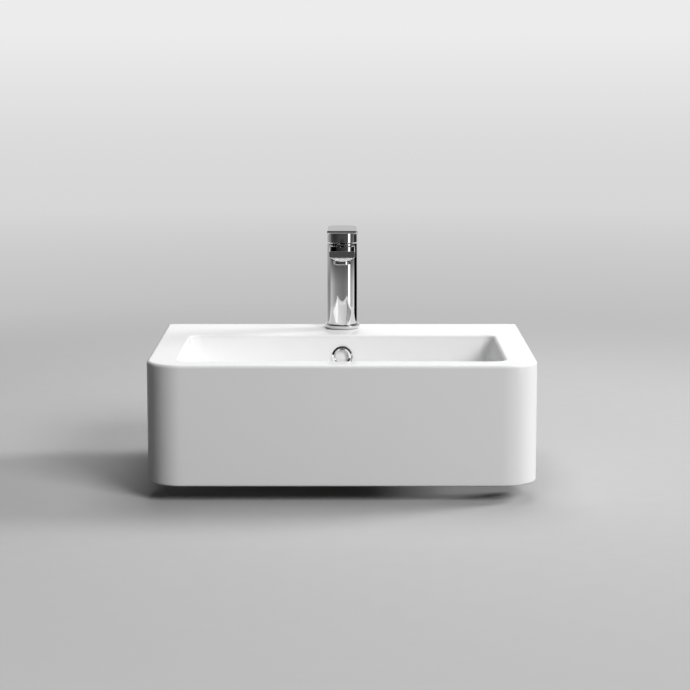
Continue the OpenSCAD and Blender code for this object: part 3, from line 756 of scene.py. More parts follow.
class OBJECT_OT_basin_china(bpy.types.Operator):
    """Build the china as one closed skin, with its tap hole and its overflow."""

    bl_idname = "object.basin_china"
    bl_label = "Basin china"

    # The waste's bore, boss and recess, and the tap hole
    bore_r = 23 * MM
    boss_r = 39 * MM
    recess_r = 33 * MM
    sump_r = 35 * MM
    boss_z = -62 * MM
    recess_z = -33.5 * MM
    tap_hole_r = 17.5 * MM
    tap_hole_edge = 0.8 * MM

    # The overflow's seat, wide bore and channel
    overflow_r = 15 * MM
    overflow_sink = 0.6 * MM
    channel_wide_r = 11 * MM
    channel_wide_l = 15 * MM
    channel_r = 8 * MM
    channel_bend = 9 * MM
    channel_back = 24 * MM
    channel_z = -46 * MM

    # The china round the channel: a pipe, a collar at the overflow and a web
    duct_r = 15 * MM
    duct_sink = 1.5 * MM
    collar_r = 14.5 * MM
    collar_from = 5 * MM
    collar_to = 22 * MM
    web_half = 10 * MM
    web_end = math.radians(75)
    boss_overlap = 5 * MM

    # How far the patches of the grid that the round holes are set in reach from the holes' middles
    hole_half = 27.5 * MM
    hole_above = 28 * MM
    hole_below = 24 * MM
    overflow_half = 20 * MM

    # The overflow's patch takes only rows up to this far behind its middle
    wall_reach = 8 * MM

    # The first rows of the tap hole's wall are glazed, and loops whose second points are further
    # apart than this angle run opposite ways
    glazed_rows = 5
    same_way = 0.3

    # Heights of the outer wall's loops, and of the inner wall's below the corner under the deck, the
    # corner's radius and the radius of the edges at the foot
    outer_heights = (73 * MM, 50 * MM, 25 * MM, 4 * MM, 0.0)
    inner_heights = (0.0, 3 * MM, 30 * MM)
    deck_corner = 3 * MM
    foot_edge = 1.2 * MM

    # Shares of the way across the deck, below and above, and up the wall beside the overflow
    under_shares = np.concatenate([np.linspace(0.023, 0.549, num=12), [0.7, 0.85, 1.0]])
    deck_shares = np.concatenate([[0.02, 0.13, 0.26], np.linspace(0.3913, 0.9227, num=12), [0.97, 1.0]])
    low_wall_shares = [0.04, 0.14, 0.27]
    high_wall_shares = [0.955, 1.0]

    def execute(self, context):
        bowl = BowlForm(context.scene.basin_sizes)
        skin = Skin()
        under = self.underside(bowl)
        above = self.topside(bowl)
        points = np.stack(under + above)
        numbers = skin.add(points)
        middle = points[:, rear_column(0.0)]
        side = np.arange(len(points)) >= len(under)
        near = np.abs(middle[:, 1] - TAP_Y)
        level = np.abs(middle[:, 2] - BASIN_HIGH.z) < WELD
        low = np.abs(middle[:, 2] - bowl.deck_z) < WELD
        centre = bowl.overflow()
        reach = self.overflow_half * math.cos(bowl.angle) + WELD
        wall = (np.abs(middle[:, 2] - centre[2]) < reach) & (middle[:, 1] < centre[1] + self.wall_reach)
        windows = [
            self.window(side & level & (near < self.hole_above), self.hole_half),
            self.window(~side & low & (near < self.hole_below), self.hole_half),
            self.window(side & wall, self.overflow_half),
        ]
        skin.quads(numbers, [1] * len(under) + [0] * (len(above) - 1), windows=windows)
        self.tap_hole(skin, numbers, points, windows, bowl.deck_z)
        self.overflow(skin, numbers, points, windows[2], bowl)
        self.seat_and_skirt(skin, numbers[0], numbers[-1], bowl.sizes)
        self.duct(skin, bowl)
        thing = skin.build("basin_china")
        soften(thing, self.foot_edge)
        settle(thing, "fixed", "china", ["basin"], "glaze", "bisque")
        return {"FINISHED"}

    def wall_outline(self, sizes, inset, rear_r):
        """The basin's outline moved in by inset, with its own rear corners."""
        return outline(
            BASIN_HIGH.x - inset,
            BASIN_LOW.y + inset,
            BASIN_HIGH.y - inset,
            sizes.front_radius - inset,
            max(rear_r - inset, 0.0),
            BASIN_LOW.y + sizes.skirt_depth,
        )

    def underside(self, bowl):
        """Loops from the inner wall's foot over the deck's underside and the shell to the waste's bore."""
        sizes = bowl.sizes
        corner = self.deck_corner
        rear_r = sizes.wall + corner
        inner = self.wall_outline(sizes, sizes.wall, rear_r)
        loops = [at_height(inner, z) for z in (*self.inner_heights, bowl.deck_z - corner)]
        for across, up in list(fillet(steps=4))[1:]:
            loop = self.wall_outline(sizes, sizes.wall + corner * across, rear_r)
            loops.append(at_height(loop, bowl.deck_z - corner + corner * up))
        shell_top = bowl.wall(bowl.wall_share(bowl.deck_z, sizes.shell), sizes.shell)
        loops += between(loops[-1], shell_top, self.under_shares)
        loops += between(shell_top, bowl.wall(0.0, sizes.shell), np.linspace(0, 1, num=7)[1:-1])
        loops += [bowl.cove(angle, sizes.shell) for angle in np.linspace(bowl.angle, math.pi / 2, num=12)]
        boss_top = SUMP_Z - sizes.shell
        profile = [
            (self.boss_r, boss_top, 0),
            (self.boss_r, self.boss_z, 1.5 * MM),
            (self.bore_r, self.boss_z, 1 * MM),
            (self.bore_r, self.recess_z, 0),
        ]
        rings = self.waste_rings(loops[-1], rounded(profile, steps=4))
        return loops + self.dished(loops[-1], rings[0], steps=7)[1:] + rings[1:]

    def topside(self, bowl):
        """Loops from the waste's recess over the floor, the walls and the rim to the outer wall's foot."""
        sizes = bowl.sizes
        floor = bowl.cove(math.pi / 2)
        profile = [
            (self.bore_r, self.recess_z, 0),
            (self.recess_r, self.recess_z, 0.6 * MM),
            (self.recess_r, SUMP_Z, 1 * MM),
            (self.sump_r, SUMP_Z, 0),
        ]
        loops = self.waste_rings(floor, rounded(profile, steps=4))[1:]
        loops += self.dished(loops[-1], floor, steps=12)[1:-1]
        loops += [bowl.cove(angle) for angle in np.linspace(math.pi / 2, bowl.angle, num=15)]
        centre = bowl.wall_share(BASIN_HIGH.z - sizes.overflow_drop)
        rise = bowl.wall(1.0)[0, 2] - bowl.wall(0.0)[0, 2]
        reach = self.overflow_half * math.cos(bowl.angle) / rise
        beside = np.linspace(centre - reach, centre + reach, num=17)
        shares = np.concatenate([self.low_wall_shares, beside, self.high_wall_shares])
        loops += [bowl.wall(share) for share in shares]
        loops += [bowl.lip(angle) for angle in np.linspace(math.pi - bowl.angle, math.pi / 2, num=9)[1:]]
        edge = sizes.edge_radius
        rim = at_height(self.wall_outline(sizes, edge, edge), BASIN_HIGH.z)
        loops += between(loops[-1], rim, self.deck_shares)
        for across, down in list(fillet(steps=9))[1:]:
            loop = self.wall_outline(sizes, edge * (1 - down), edge)
            loops.append(at_height(loop, BASIN_HIGH.z - edge * across))
        outer = self.wall_outline(sizes, 0.0, edge)
        return loops + [at_height(outer, z) for z in self.outer_heights]

    def waste_rings(self, loop, profile):
        """Rings about the waste's axis, with their points in the directions of a loop's points."""
        angles = np.arctan2(loop[:, 1] - WASTE_Y, loop[:, 0])
        return list(turned(profile, (0, WASTE_Y, 0), angles=angles))

    def dished(self, first, second, steps):
        """Loops from one to another whose height eases in and out: 3 t^2 - 2 t^3 of the way at share t."""
        loops = []
        for share in np.linspace(0, 1, num=steps):
            loop = first + share * (second - first)
            eased = share * share * (3 - 2 * share)
            loop[:, 2] = first[:, 2] + eased * (second[:, 2] - first[:, 2])
            loops.append(loop)
        return loops

    def window(self, rows, half):
        """A window over the rows that are true, between x = half and x = -half."""
        found = np.flatnonzero(rows)
        return int(found[0]), int(found[-1]), rear_column(half), rear_column(-half)

    def tap_hole(self, skin, numbers, points, windows, deck_z):
        """Joins the windows above and below with a round hole whose edges are rounded."""
        top, under = (rim_of(numbers, window) for window in windows[:2])
        edge = self.tap_hole_edge
        corners = [
            (self.tap_hole_r + 2 * edge, BASIN_HIGH.z),
            (self.tap_hole_r, BASIN_HIGH.z),
            (self.tap_hole_r, deck_z),
            (self.tap_hole_r + 2 * edge, deck_z),
        ]
        flat = points.reshape(-1, 3)
        angles = np.arctan2(flat[top, 1] - TAP_Y, flat[top, 0])
        ring = skin.add(turned(rounded(corners, edge, steps=4), (0, TAP_Y, 0), angles=angles))
        other = np.arctan2(flat[under, 1] - TAP_Y, flat[under, 0])
        shift = int(np.argmin(np.abs(np.angle(np.exp(1j * (other - angles[0]))))))
        under = np.roll(under, -shift)
        following = other[(shift + 1) % len(other)] - angles[1]
        if np.abs(np.angle(np.exp(1j * following))) > self.same_way:
            under = np.roll(under[::-1], 1)
        skin.quads(np.vstack([top, ring[: self.glazed_rows]]), 0)
        skin.quads(ring[self.glazed_rows - 1 :], 1)
        skin.quads(np.vstack([ring[-1:], under]), 1)

    def overflow(self, skin, numbers, points, window, bowl):
        """A shallow seat for the ring, then a bore that bends down into the channel to the waste."""
        rim = rim_of(numbers, window)
        flat = points.reshape(-1, 3)[rim]
        centre = bowl.overflow()
        angles = np.arctan2((flat - centre) @ bowl.up, flat[:, 0])
        axes = np.array([[1.0, 0.0, 0.0], bowl.up, bowl.into])
        seat = [
            (self.overflow_r + 1 * MM, 0, 0),
            (self.overflow_r, 0, 0.25 * MM),
            (self.overflow_r, self.overflow_sink, 0.1 * MM),
            (self.channel_wide_r, self.overflow_sink, 0.8 * MM),
            (self.channel_wide_r, self.channel_wide_l, 1 * MM),
            (self.channel_r, self.channel_wide_l, 0),
        ]
        rings = skin.add(turned(rounded(seat, steps=3), centre, axes=axes, angles=angles))
        skin.quads(np.vstack([rim, rings]), 0)
        path, radii = self.channel_path(centre, bowl.into)
        bore = skin.add(piped(path, radii, angles))
        # The channel takes the darker unglazed finish, whose colour paints the shade inside it
        skin.quads(np.vstack([rings[-1:], bore]), 1)

    def channel_path(self, centre, into):
        """The channel's axis from the end of the wide bore to the waste's bore, and its radius."""
        start = (centre + into * self.channel_wide_l)[1:]
        back = centre[1] + self.channel_back
        drop = centre[2] + (back - centre[1]) / into[1] * into[2]
        corners = [start, (back, drop), (back, self.channel_z), (WASTE_Y + self.bore_r, self.channel_z)]
        path = rounded(corners, self.channel_bend, steps=8)
        path = np.vstack([path, path[-1:] + (WELD, 0)])
        radii = np.full(len(path), self.channel_r)
        radii[-1] = 0.0
        return path, radii

    def seat_and_skirt(self, skin, inner, outer, sizes):
        """The foot of the rear walls, and the front walls that hang below it with square ends."""
        rear = np.arange(RIGHT_KNEE, LEFT_KNEE + 1)
        front = np.concatenate([np.arange(LEFT_KNEE, len(inner)), np.arange(RIGHT_KNEE + 1)])
        skin.quads(np.vstack([outer[rear], inner[rear]]), 1, around=False)
        corners = [
            (0, 0, 0),
            (0, BASIN_LOW.z, 2 * MM),
            (sizes.wall, BASIN_LOW.z, 1.5 * MM),
            (sizes.wall, 0, 0),
        ]
        foot = rounded(corners, steps=5)
        loops = [
            at_height(self.wall_outline(sizes, inset, sizes.edge_radius), z)[front]
            for inset, z in foot[1:-1]
        ]
        rows = np.vstack([outer[front], skin.add(np.stack(loops)), inner[front]])
        glazed = len(foot) // 2
        skin.quads(rows, [0] * glazed + [1] * (len(rows) - 1 - glazed), around=False)
        skin.face(rows[:, 0], 1)
        skin.face(rows[::-1, -1], 1)

    def duct(self, skin, bowl):
        """China round the channel: a pipe down to the waste's boss, a web and a collar at the overflow."""
        centre = bowl.overflow()[1:]
        back = centre[0] + self.channel_back
        top = bowl.deck_z + self.duct_sink
        low = (WASTE_Y + self.boss_r - self.boss_overlap, self.channel_z)
        pipe = rounded([(back, top), (back, self.channel_z), low], self.duct_r, steps=10)
        self.capped(skin, pipe, np.array([0, -1]), np.array([-1, 0]), self.duct_r)
        into = bowl.into[1:]
        collar = np.array([centre + into * self.collar_from, centre + into * self.collar_to])
        self.capped(skin, collar, into, into, self.collar_r)
        self.web(skin, bowl, back, top)

    def capped(self, skin, path, first, last, radius):
        """A round bar along a path, which sets off towards first and ends towards last."""
        path = np.vstack([path[:1] - first * WELD, path, path[-1:] + last * WELD])
        radii = np.full(len(path), radius)
        radii[[0, -1]] = 0.0
        skin.sheet(piped(path, radii, np.linspace(0, math.tau, num=48, endpoint=False)), 1)

    def web(self, skin, bowl, back, top):
        """A flat web between the pipe and the bowl's back wall, whose front edge lies inside the wall."""
        middle = bowl.sizes.shell / 2
        shares = np.linspace(bowl.wall_share(top, middle), 0.0, num=8)
        angles = np.linspace(bowl.angle, self.web_end, num=8)[1:]
        loops = [bowl.wall(share, middle) for share in shares]
        loops += [bowl.cove(angle, middle) for angle in angles]
        edge = np.stack(loops)[:, rear_column(0.0), 1:]
        spine = np.column_stack([np.full(len(edge), back), edge[:, 1]])
        spine[-1, 1] = self.channel_z
        edge = np.vstack([edge, [edge[-1, 0], self.channel_z]])
        spine = np.vstack([spine, [back, self.channel_z]])
        section = np.stack([edge, spine, spine, edge])
        x = np.array([1, 1, -1, -1])[:, None, None] * self.web_half
        points = np.concatenate([np.broadcast_to(x, (4, len(edge), 1)), section], axis=2)
        numbers = skin.sheet(points.transpose(1, 0, 2), 1)
        skin.ends(numbers, 1)


# Overflow ring and waste


class OBJECT_OT_basin_overflow_ring(bpy.types.Operator):
    """Build the chrome ring of the overflow, a sloping face round a hole with a sleeve in the china."""

    bl_idname = "object.basin_overflow_ring"
    bl_label = "Overflow ring"

    outer_r = 14.4 * MM
    inner_r = 9.2 * MM
    sleeve_r = 10.9 * MM
    sleeve_l = 12 * MM
    seat = 0.55 * MM
    edge_h = 0.65 * MM
    crest_r = 11.6 * MM
    crest_h = 1.95 * MM
    mouth_h = 0.75 * MM

    def execute(self, context):
        bowl = BowlForm(context.scene.basin_sizes)
        profile = [
            (self.outer_r, -self.seat, 0.1 * MM),
            (self.outer_r, self.edge_h, 0.4 * MM),
            (self.crest_r, self.crest_h, 0.6 * MM),
            (self.inner_r, self.mouth_h, 0.5 * MM),
            (self.inner_r, -self.sleeve_l, 0.2 * MM),
            (self.sleeve_r, -self.sleeve_l, 0.2 * MM),
            (self.sleeve_r, -self.seat, 0),
        ]
        axes = np.array([[1.0, 0.0, 0.0], bowl.up, -bowl.into])
        skin = Skin()
        skin.solid(turned(rounded(profile, steps=5, closed=True), bowl.overflow(), sides=128, axes=axes))
        thing = skin.build("overflow_ring_chrome", sharp=50)
        settle(thing, "fixed", "chrome_trim", ["overflow_ring"], "chrome")
        return {"FINISHED"}


class OBJECT_OT_basin_waste(bpy.types.Operator):
    """Build the waste: its slotted threaded body, nut, washer, seals and push cap."""

    bl_idname = "object.basin_waste"
    bl_label = "Waste"

    axis = (0, WASTE_Y, 0)
    sides = 144
    body_r = 20.95 * MM
    inner_r = 18 * MM
    mouth_r = 20 * MM
    flange_low = -31.5 * MM
    thread_top = -34 * MM
    thread_low = -82 * MM
    pitch = 2.309 * MM
    depth = 0.9 * MM
    groove = 0.6 * MM
    groove_w = 2 * MM
    slot_low = -51 * MM
    slot_high = -41 * MM
    slot_half = 6 * MM

    # The spider that holds the sleeve
    spider_low = -63.5 * MM
    spider_high = -59.5 * MM
    hub_in = 4.1 * MM
    hub_out = 7 * MM
    spoke_half = 2.5 * MM

    # The push cap and the nut
    cap_t = 3 * MM
    cap_bore = 10.05 * MM
    cap_flat = 9 * MM
    cap_fall = 0.15 * MM
    spigot_r = 17 * MM
    grip_r = 4 * MM
    grip_out = 1 * MM
    nut_points = 256
    nut_bevel = 0.8 * MM

    def execute(self, context):
        self.body()
        self.cap()
        self.nut()
        self.washers()
        return {"FINISHED"}

    def body(self):
        """A tube with a flange above, a threaded outside and four slots that meet the overflow's channel."""
        thread_r, thread_h = threaded(
            self.body_r, self.depth, self.pitch, self.thread_low, self.thread_top, self.sides
        )
        skin = Skin()
        outer = skin.add(ring_points(thread_r, thread_h, self.axis))
        inner = skin.add(ring_points(np.full(thread_r.shape, self.inner_r), thread_h, self.axis))
        rows = [int(np.argmin(np.abs(thread_h[:, 0] - z))) for z in (self.slot_low, self.slot_high)]
        wide = int(round(math.degrees(self.slot_half / self.body_r) * self.sides / 360))
        middles = [int(share * self.sides) for share in (0.125, 0.375, 0.625, 0.875)]
        windows = [(*rows, middle - wide, middle + wide) for middle in middles]
        skin.quads(outer, windows=windows)
        skin.quads(inner, windows=windows)
        for window in windows:
            skin.quads(np.vstack([rim_of(outer, window), rim_of(inner, window)]))
        flange_r = WASTE_HIGH.x
        above = [
            (self.body_r, self.thread_top, 0),
            (self.body_r, self.flange_low, 0.3 * MM),
            (flange_r, self.flange_low, 0.5 * MM),
            (flange_r, SUMP_Z, 1 * MM),
            (self.mouth_r, SUMP_Z, 0.6 * MM),
            (self.mouth_r, self.flange_low, 0.3 * MM),
            (self.inner_r, self.flange_low - 1 * MM, 0.4 * MM),
            (self.inner_r, self.thread_top, 0),
        ]
        self.cuff(skin, outer[-1], inner[-1], rounded(above, steps=4))
        neck_r = self.body_r - self.groove
        neck_low = self.thread_low - self.groove_w
        below = [
            (self.body_r, self.thread_low, 0),
            (neck_r, self.thread_low, 0.15 * MM),
            (neck_r, neck_low, 0.15 * MM),
            (self.body_r, neck_low, 0.15 * MM),
            (self.body_r, WASTE_LOW.z, 0.8 * MM),
            (self.inner_r, WASTE_LOW.z, 0.5 * MM),
            (self.inner_r, self.thread_low, 0),
        ]
        self.cuff(skin, outer[0], inner[0], rounded(below, steps=3))
        self.spider(skin)
        thing = skin.build("waste_body_chrome", sharp=40)
        settle(thing, "fixed", "chrome_trim", ["waste_body"], "chrome")

    def cuff(self, skin, outer, inner, profile):
        """Closes the tube's end with a turned profile from its outside to its inside."""
        ring = skin.add(turned(profile[1:-1], self.axis, self.sides))
        skin.quads(np.vstack([outer[None], ring, inner[None]]))

    def spider(self, skin):
        """A hub with three spokes that holds the sleeve."""
        low, high = self.spider_low, self.spider_high
        hub = box_section(self.hub_in, self.hub_out, low, high)
        hub = rounded(hub, 0.4 * MM, steps=3, closed=True)
        skin.solid(turned(hub, self.axis, sides=48))
        spoke = box_section(-self.spoke_half, self.spoke_half, low, high)
        spoke = rounded(spoke, 0.6 * MM, steps=3, closed=True)
        for turn in np.radians([0, 120, 240]):
            out = np.array([math.cos(turn), math.sin(turn), 0])
            side = np.array([-math.sin(turn), math.cos(turn), 0])
            ends = []
            for reach in (self.hub_out - 1 * MM, self.inner_r + 1 * MM):
                ring = out * reach + spoke[:, :1] * side + spoke[:, 1:] * np.array([0, 0, 1.0])
                ends.append(ring + np.array(self.axis))
            skin.ends(skin.sheet(np.stack(ends)))

    def cap(self):
        """A flat push cap with a softly rounded edge and a very slight crown."""
        radius, top, foot = CAP_HIGH.x, CAP_HIGH.z, CAP_LOW.z
        plate_low = top - self.cap_t
        edge = [(radius - self.cap_flat, top), (radius, top - self.cap_fall), (radius, plate_low)]
        under = [
            (radius, plate_low, 0),
            (self.spigot_r, plate_low, 0.4 * MM),
            (self.spigot_r, foot, 0.3 * MM),
            (self.cap_bore, foot, 0.3 * MM),
            (self.cap_bore, plate_low, 0.2 * MM),
            (0, plate_low, 0),
        ]
        crown = [(0, top), (radius / 3, top), (2 * radius / 3 - 4 * MM, top)]
        profile = np.vstack([crown, rounded(edge, 1.2 * MM, steps=7), rounded(under, steps=3)])
        skin = Skin()
        skin.sheet(turned(profile, self.axis, sides=160))
        thing = skin.build("waste_cap_chrome", sharp=60)
        settle(thing, "waste_plug", "chrome_trim", ["waste_cap"], "chrome")

    def nut(self):
        """The back nut: its outside is the lesser of a circle and eight round grips cut into it.

        A grip of radius g, centred at distance c, meets the ray at angle a at
        c cos(a) - sqrt(g^2 - c^2 sin^2(a)).
        """
        low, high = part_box("waste_nut")
        radius = high.x
        centre = radius + self.grip_out
        a = np.linspace(0, math.tau, num=self.nut_points, endpoint=False)
        off = (a + math.pi / 8) % (math.pi / 4) - math.pi / 8
        inside = np.clip(self.grip_r**2 - (centre * np.sin(off)) ** 2, 0, None)
        notch = np.where(inside > 0, centre * np.cos(off) - np.sqrt(inside), radius)
        outside = np.minimum(radius, notch)
        bore = np.full(self.nut_points, self.body_r + 0.15 * MM)
        bevel = self.nut_bevel
        radii = [bore, outside - bevel, outside, outside, outside - bevel, bore]
        heights = np.array([low.z, low.z, low.z + bevel, high.z - bevel, high.z, high.z])[:, None]
        skin = Skin()
        skin.solid(ring_points(np.stack(radii), heights, self.axis))
        thing = skin.build("waste_back_nut", sharp=30)
        settle(thing, "fixed", "brass_fittings", ["waste_nut"], "brass")

    def washers(self):
        """Turned rings: the seals above and below the china, the washer and the cap's seal."""
        gap = 0.05 * MM
        rings = [
            ("waste_upper_seal", "fixed", "black_rubber", "rubber", 0.6 * MM, self.body_r),
            ("waste_lower_seal", "fixed", "black_rubber", "rubber", 1.6 * MM, self.body_r),
            ("waste_washer", "fixed", "white_plastic", "plastic", 0.5 * MM, self.body_r),
            ("waste_cap_seal", "waste_plug", "black_rubber", "rubber", 0.6 * MM, self.cap_bore),
        ]
        for node, body, slot, finish, edge, bore in rings:
            low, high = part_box(node)
            section = box_section(bore + gap, high.x, low.z, high.z)
            section = rounded(section, edge, steps=4, closed=True)
            thing = turned_piece(node + "_ring", section, self.axis, sides=128, sharp=50)
            settle(thing, body, slot, [node], finish)


# Tap


class OBJECT_OT_basin_tap_body(bpy.types.Operator):
    """Build the tap's column with its spout, foot ring, seal, dome, aerator and stud."""

    bl_idname = "object.basin_tap_body"
    bl_label = "Tap body"

    axis = (0, TAP_Y, 0)
    spout_half = 17.5 * MM
    spout_top = 199.5 * MM
    spout_side = 8 * MM
    spout_bend = 2.2 * MM
    belly_half = 14 * MM
    belly_sag = 4 * MM
    tip_set = 2 * MM

    # Radius of the end's edge and how far the end falls back below its knee, for spout and belly
    tip_edge, tip_slope = 0.5 * MM, 1.0
    belly_edge, belly_slope = 0.6 * MM, 0.3

    # How far the last plain ring lies behind the tip and the end's ring lies in, in edge radii
    bar_lead, bar_flat = 5, 1.4

    cavity_r = 15.5 * MM
    cavity_low = 158 * MM
    nut_r = 17 * MM
    nut_low = 195.5 * MM
    pivot_z = 192 * MM
    dome_r = 17 * MM
    dome_hole_r = 11 * MM

    # The ring at the foot, its groove and its seal
    foot_bore = 17.5 * MM
    groove_w = 0.9 * MM
    groove_depth = 1.6 * MM
    seal_bore = 19 * MM

    # The aerator's thread, bore and lip, and the stud's thread and bevel
    aerator_thread_r = 10 * MM
    aerator_bore = 8.25 * MM
    aerator_lip = 7.25 * MM
    lip_t = 1 * MM
    stud_pitch = 1.25 * MM
    stud_depth = 0.6 * MM
    stud_bevel = 0.8 * MM
    stud_sides = 40

    def execute(self, context):
        self.column()
        self.foot()
        self.dome()
        self.aerator()
        self.stud()
        return {"FINISHED"}

    def column(self):
        """The turned column, the spout as a rounded bar and the belly under it, in one piece."""
        profile = [
            (0, BODY_LOW.z, 0),
            (COLUMN_R, BODY_LOW.z, 0.3 * MM),
            (COLUMN_R, BODY_HIGH.z, 0.4 * MM),
            (self.nut_r, BODY_HIGH.z, 0.3 * MM),
            (self.nut_r, self.nut_low, 0.2 * MM),
            (self.cavity_r, self.nut_low, 0.2 * MM),
            (self.cavity_r, self.cavity_low, 0.5 * MM),
            (0, self.cavity_low, 0),
        ]
        skin = Skin()
        skin.sheet(turned(rounded(profile), self.axis, sides=192))
        side_low = self.spout_top - self.spout_side
        belly_top = side_low - self.spout_bend
        spout = [
            (-self.spout_half, self.spout_top, 1 * MM),
            (-self.spout_half, side_low, 0.7 * MM),
            (-self.belly_half, belly_top, 0.3 * MM),
            (self.belly_half, belly_top, 0.3 * MM),
            (self.spout_half, side_low, 0.7 * MM),
            (self.spout_half, self.spout_top, 1 * MM),
        ]
        self.bar(skin, rounded(spout, closed=True), BODY_LOW.y, self.tip_edge, side_low, self.tip_slope)
        radius = (self.belly_half**2 + self.belly_sag**2) / (2 * self.belly_sag)
        reach = math.asin(self.belly_half / radius)
        a = np.linspace(-reach, reach, num=33)
        low_z = belly_top - self.belly_sag
        belly = np.column_stack([radius * np.sin(a), low_z + radius * (1 - np.cos(a))])
        inside_z = belly_top + 2 * MM
        belly = np.vstack([belly, (self.belly_half, inside_z), (-self.belly_half, inside_z)])
        tip = BODY_LOW.y + self.tip_set
        self.bar(skin, belly, tip, self.belly_edge, belly_top, self.belly_slope)
        thing = skin.build("tap_column_spout", sharp=28)
        settle(thing, "fixed", "chrome_tap", ["tap_body"], "chrome")

    def bar(self, skin, section, tip, edge, knee, slope):
        """A section of (x, z) points carried to the tip, where its end is rounded by the edge.

        The last rings shrink along the section's normals by edge (1 - cos a) while they go
        edge sin(a) further. Below the knee the end falls back by the slope times the drop.
        """
        start = TAP_Y - COLUMN_R / 2
        after = np.roll(section, -1, 0)
        ahead = after - np.roll(section, 1, 0)
        inward = unit(np.column_stack([-ahead[:, 1], ahead[:, 0]]))
        spin = np.sum(section[:, 0] * after[:, 1] - section[:, 1] * after[:, 0])
        inward *= math.copysign(1.0, spin)
        rings = [(section, start, 0.0), (section, tip + self.bar_lead * edge, 1.0)]
        for inset, along in fillet(steps=5):
            rings.append((section + inward * edge * inset, tip + edge * (1 - along), 1.0))
        rings.append((section + inward * edge * self.bar_flat, tip, 1.0))
        points = []
        for ring, y, share in rings:
            fall = share * slope * np.maximum(knee - ring[:, 1], 0)
            points.append(np.column_stack([ring[:, 0], y + fall, ring[:, 1]]))
        numbers = skin.sheet(np.stack(points))
        skin.face(numbers[0])
        end = numbers[-1][::-1]
        below = points[-1][::-1, 2] < knee - edge / 2
        if below.all() or not below.any():
            skin.face(end)
            return
        first = int(np.flatnonzero(below & ~np.roll(below, 1))[0])
        end = np.roll(end, -first)
        count = int(below.sum())
        skin.face([*end[: count + 1], end[-1]])
        skin.face(end[count:])

    def foot(self):
        """The ring at the column's foot, with a fine groove beside the column, and its seal."""
        groove_r = COLUMN_R + self.groove_w
        groove_z = RING_HIGH.z - self.groove_depth
        seat_r = COLUMN_R + 0.05 * MM
        section = [
            (self.foot_bore, RING_LOW.z, 0.2 * MM),
            (RING_HIGH.x, RING_LOW.z, 3 * MM),
            (RING_HIGH.x, RING_HIGH.z, 1.2 * MM),
            (groove_r, RING_HIGH.z, 0.3 * MM),
            (groove_r - 0.1 * MM, groove_z, 0),
            (seat_r, groove_z, 0),
            (seat_r, BODY_LOW.z, 0.1 * MM),
            (self.foot_bore, BODY_LOW.z, 0.1 * MM),
        ]
        section = rounded(section, steps=8, closed=True)
        thing = turned_piece("tap_foot_ring", section, self.axis, sides=160, sharp=40)
        settle(thing, "fixed", "chrome_tap", ["tap_base_ring"], "chrome")
        low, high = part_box("tap_base_seal")
        section = box_section(self.seal_bore, high.x, low.z, high.z)
        section = rounded(section, 0.4 * MM, steps=4, closed=True)
        thing = turned_piece("tap_foot_seal", section, self.axis, sides=128, sharp=50)
        settle(thing, "fixed", "black_rubber", ["tap_base_seal"], "rubber")

    def dome(self):
        """The cover under the handle: a zone of a ball about the lever's pivot."""
        low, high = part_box("tap_cover")
        foot = math.acos((low.z - self.pivot_z) / self.dome_r)
        head = math.acos((high.z - self.pivot_z - 0.3 * MM) / self.dome_r)
        a = np.linspace(foot, head, num=16)
        zone = np.column_stack([self.dome_r * np.sin(a), self.pivot_z + self.dome_r * np.cos(a)])
        hole_top = (self.dome_hole_r, high.z - 0.2 * MM)
        hole_low = (self.dome_hole_r, low.z)
        rim = rounded([zone[-1], hole_top, hole_low, zone[0]], 0.2 * MM, steps=3)
        section = np.vstack([zone, rim[1:-1]])
        thing = turned_piece("tap_dome", section, self.axis, sides=128, sharp=40)
        settle(thing, "fixed", "chrome_tap", ["tap_cover"], "chrome")

    def aerator(self):
        """The collar below the spout, with the part of it that screws into the spout."""
        low, high = COLLAR_LOW.z, COLLAR_HIGH.z
        shoulder = self.spout_top - self.spout_side - self.spout_bend - self.belly_sag
        section = [
            (self.aerator_lip, low, 0.3 * MM),
            (COLLAR_HIGH.x, low, 0.6 * MM),
            (COLLAR_HIGH.x, shoulder, 0.3 * MM),
            (self.aerator_thread_r, shoulder, 0),
            (self.aerator_thread_r, high, 0.4 * MM),
            (self.aerator_bore, high, 0.2 * MM),
            (self.aerator_bore, low + self.lip_t, 0),
            (self.aerator_lip, low + self.lip_t, 0.2 * MM),
        ]
        section = rounded(section, steps=4, closed=True)
        thing = turned_piece("aerator_collar", section, (0, AERATOR_Y, 0), sides=128, sharp=40)
        settle(thing, "fixed", "chrome_tap", ["aerator_housing"], "chrome")

    def stud(self):
        """The threaded stud that holds the tap down."""
        low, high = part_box("tap_stud")
        origin = (0, (low.y + high.y) / 2, 0)
        radius = (high.x - low.x) / 2
        bevel = self.stud_bevel
        thread_low, thread_high = low.z + bevel, high.z - bevel
        r, h = threaded(
            radius, self.stud_depth, self.stud_pitch, thread_low, thread_high, self.stud_sides
        )
        foot = turned([(0, low.z), (radius - bevel, low.z)], origin, self.stud_sides)
        head = turned([(radius - bevel, high.z), (0, high.z)], origin, self.stud_sides)
        skin = Skin()
        skin.sheet(np.concatenate([foot, ring_points(r, h, origin), head]))
        thing = skin.build("tap_threaded_stud", sharp=50)
        settle(thing, "fixed", "steel_fixings", ["tap_stud"], "steel")


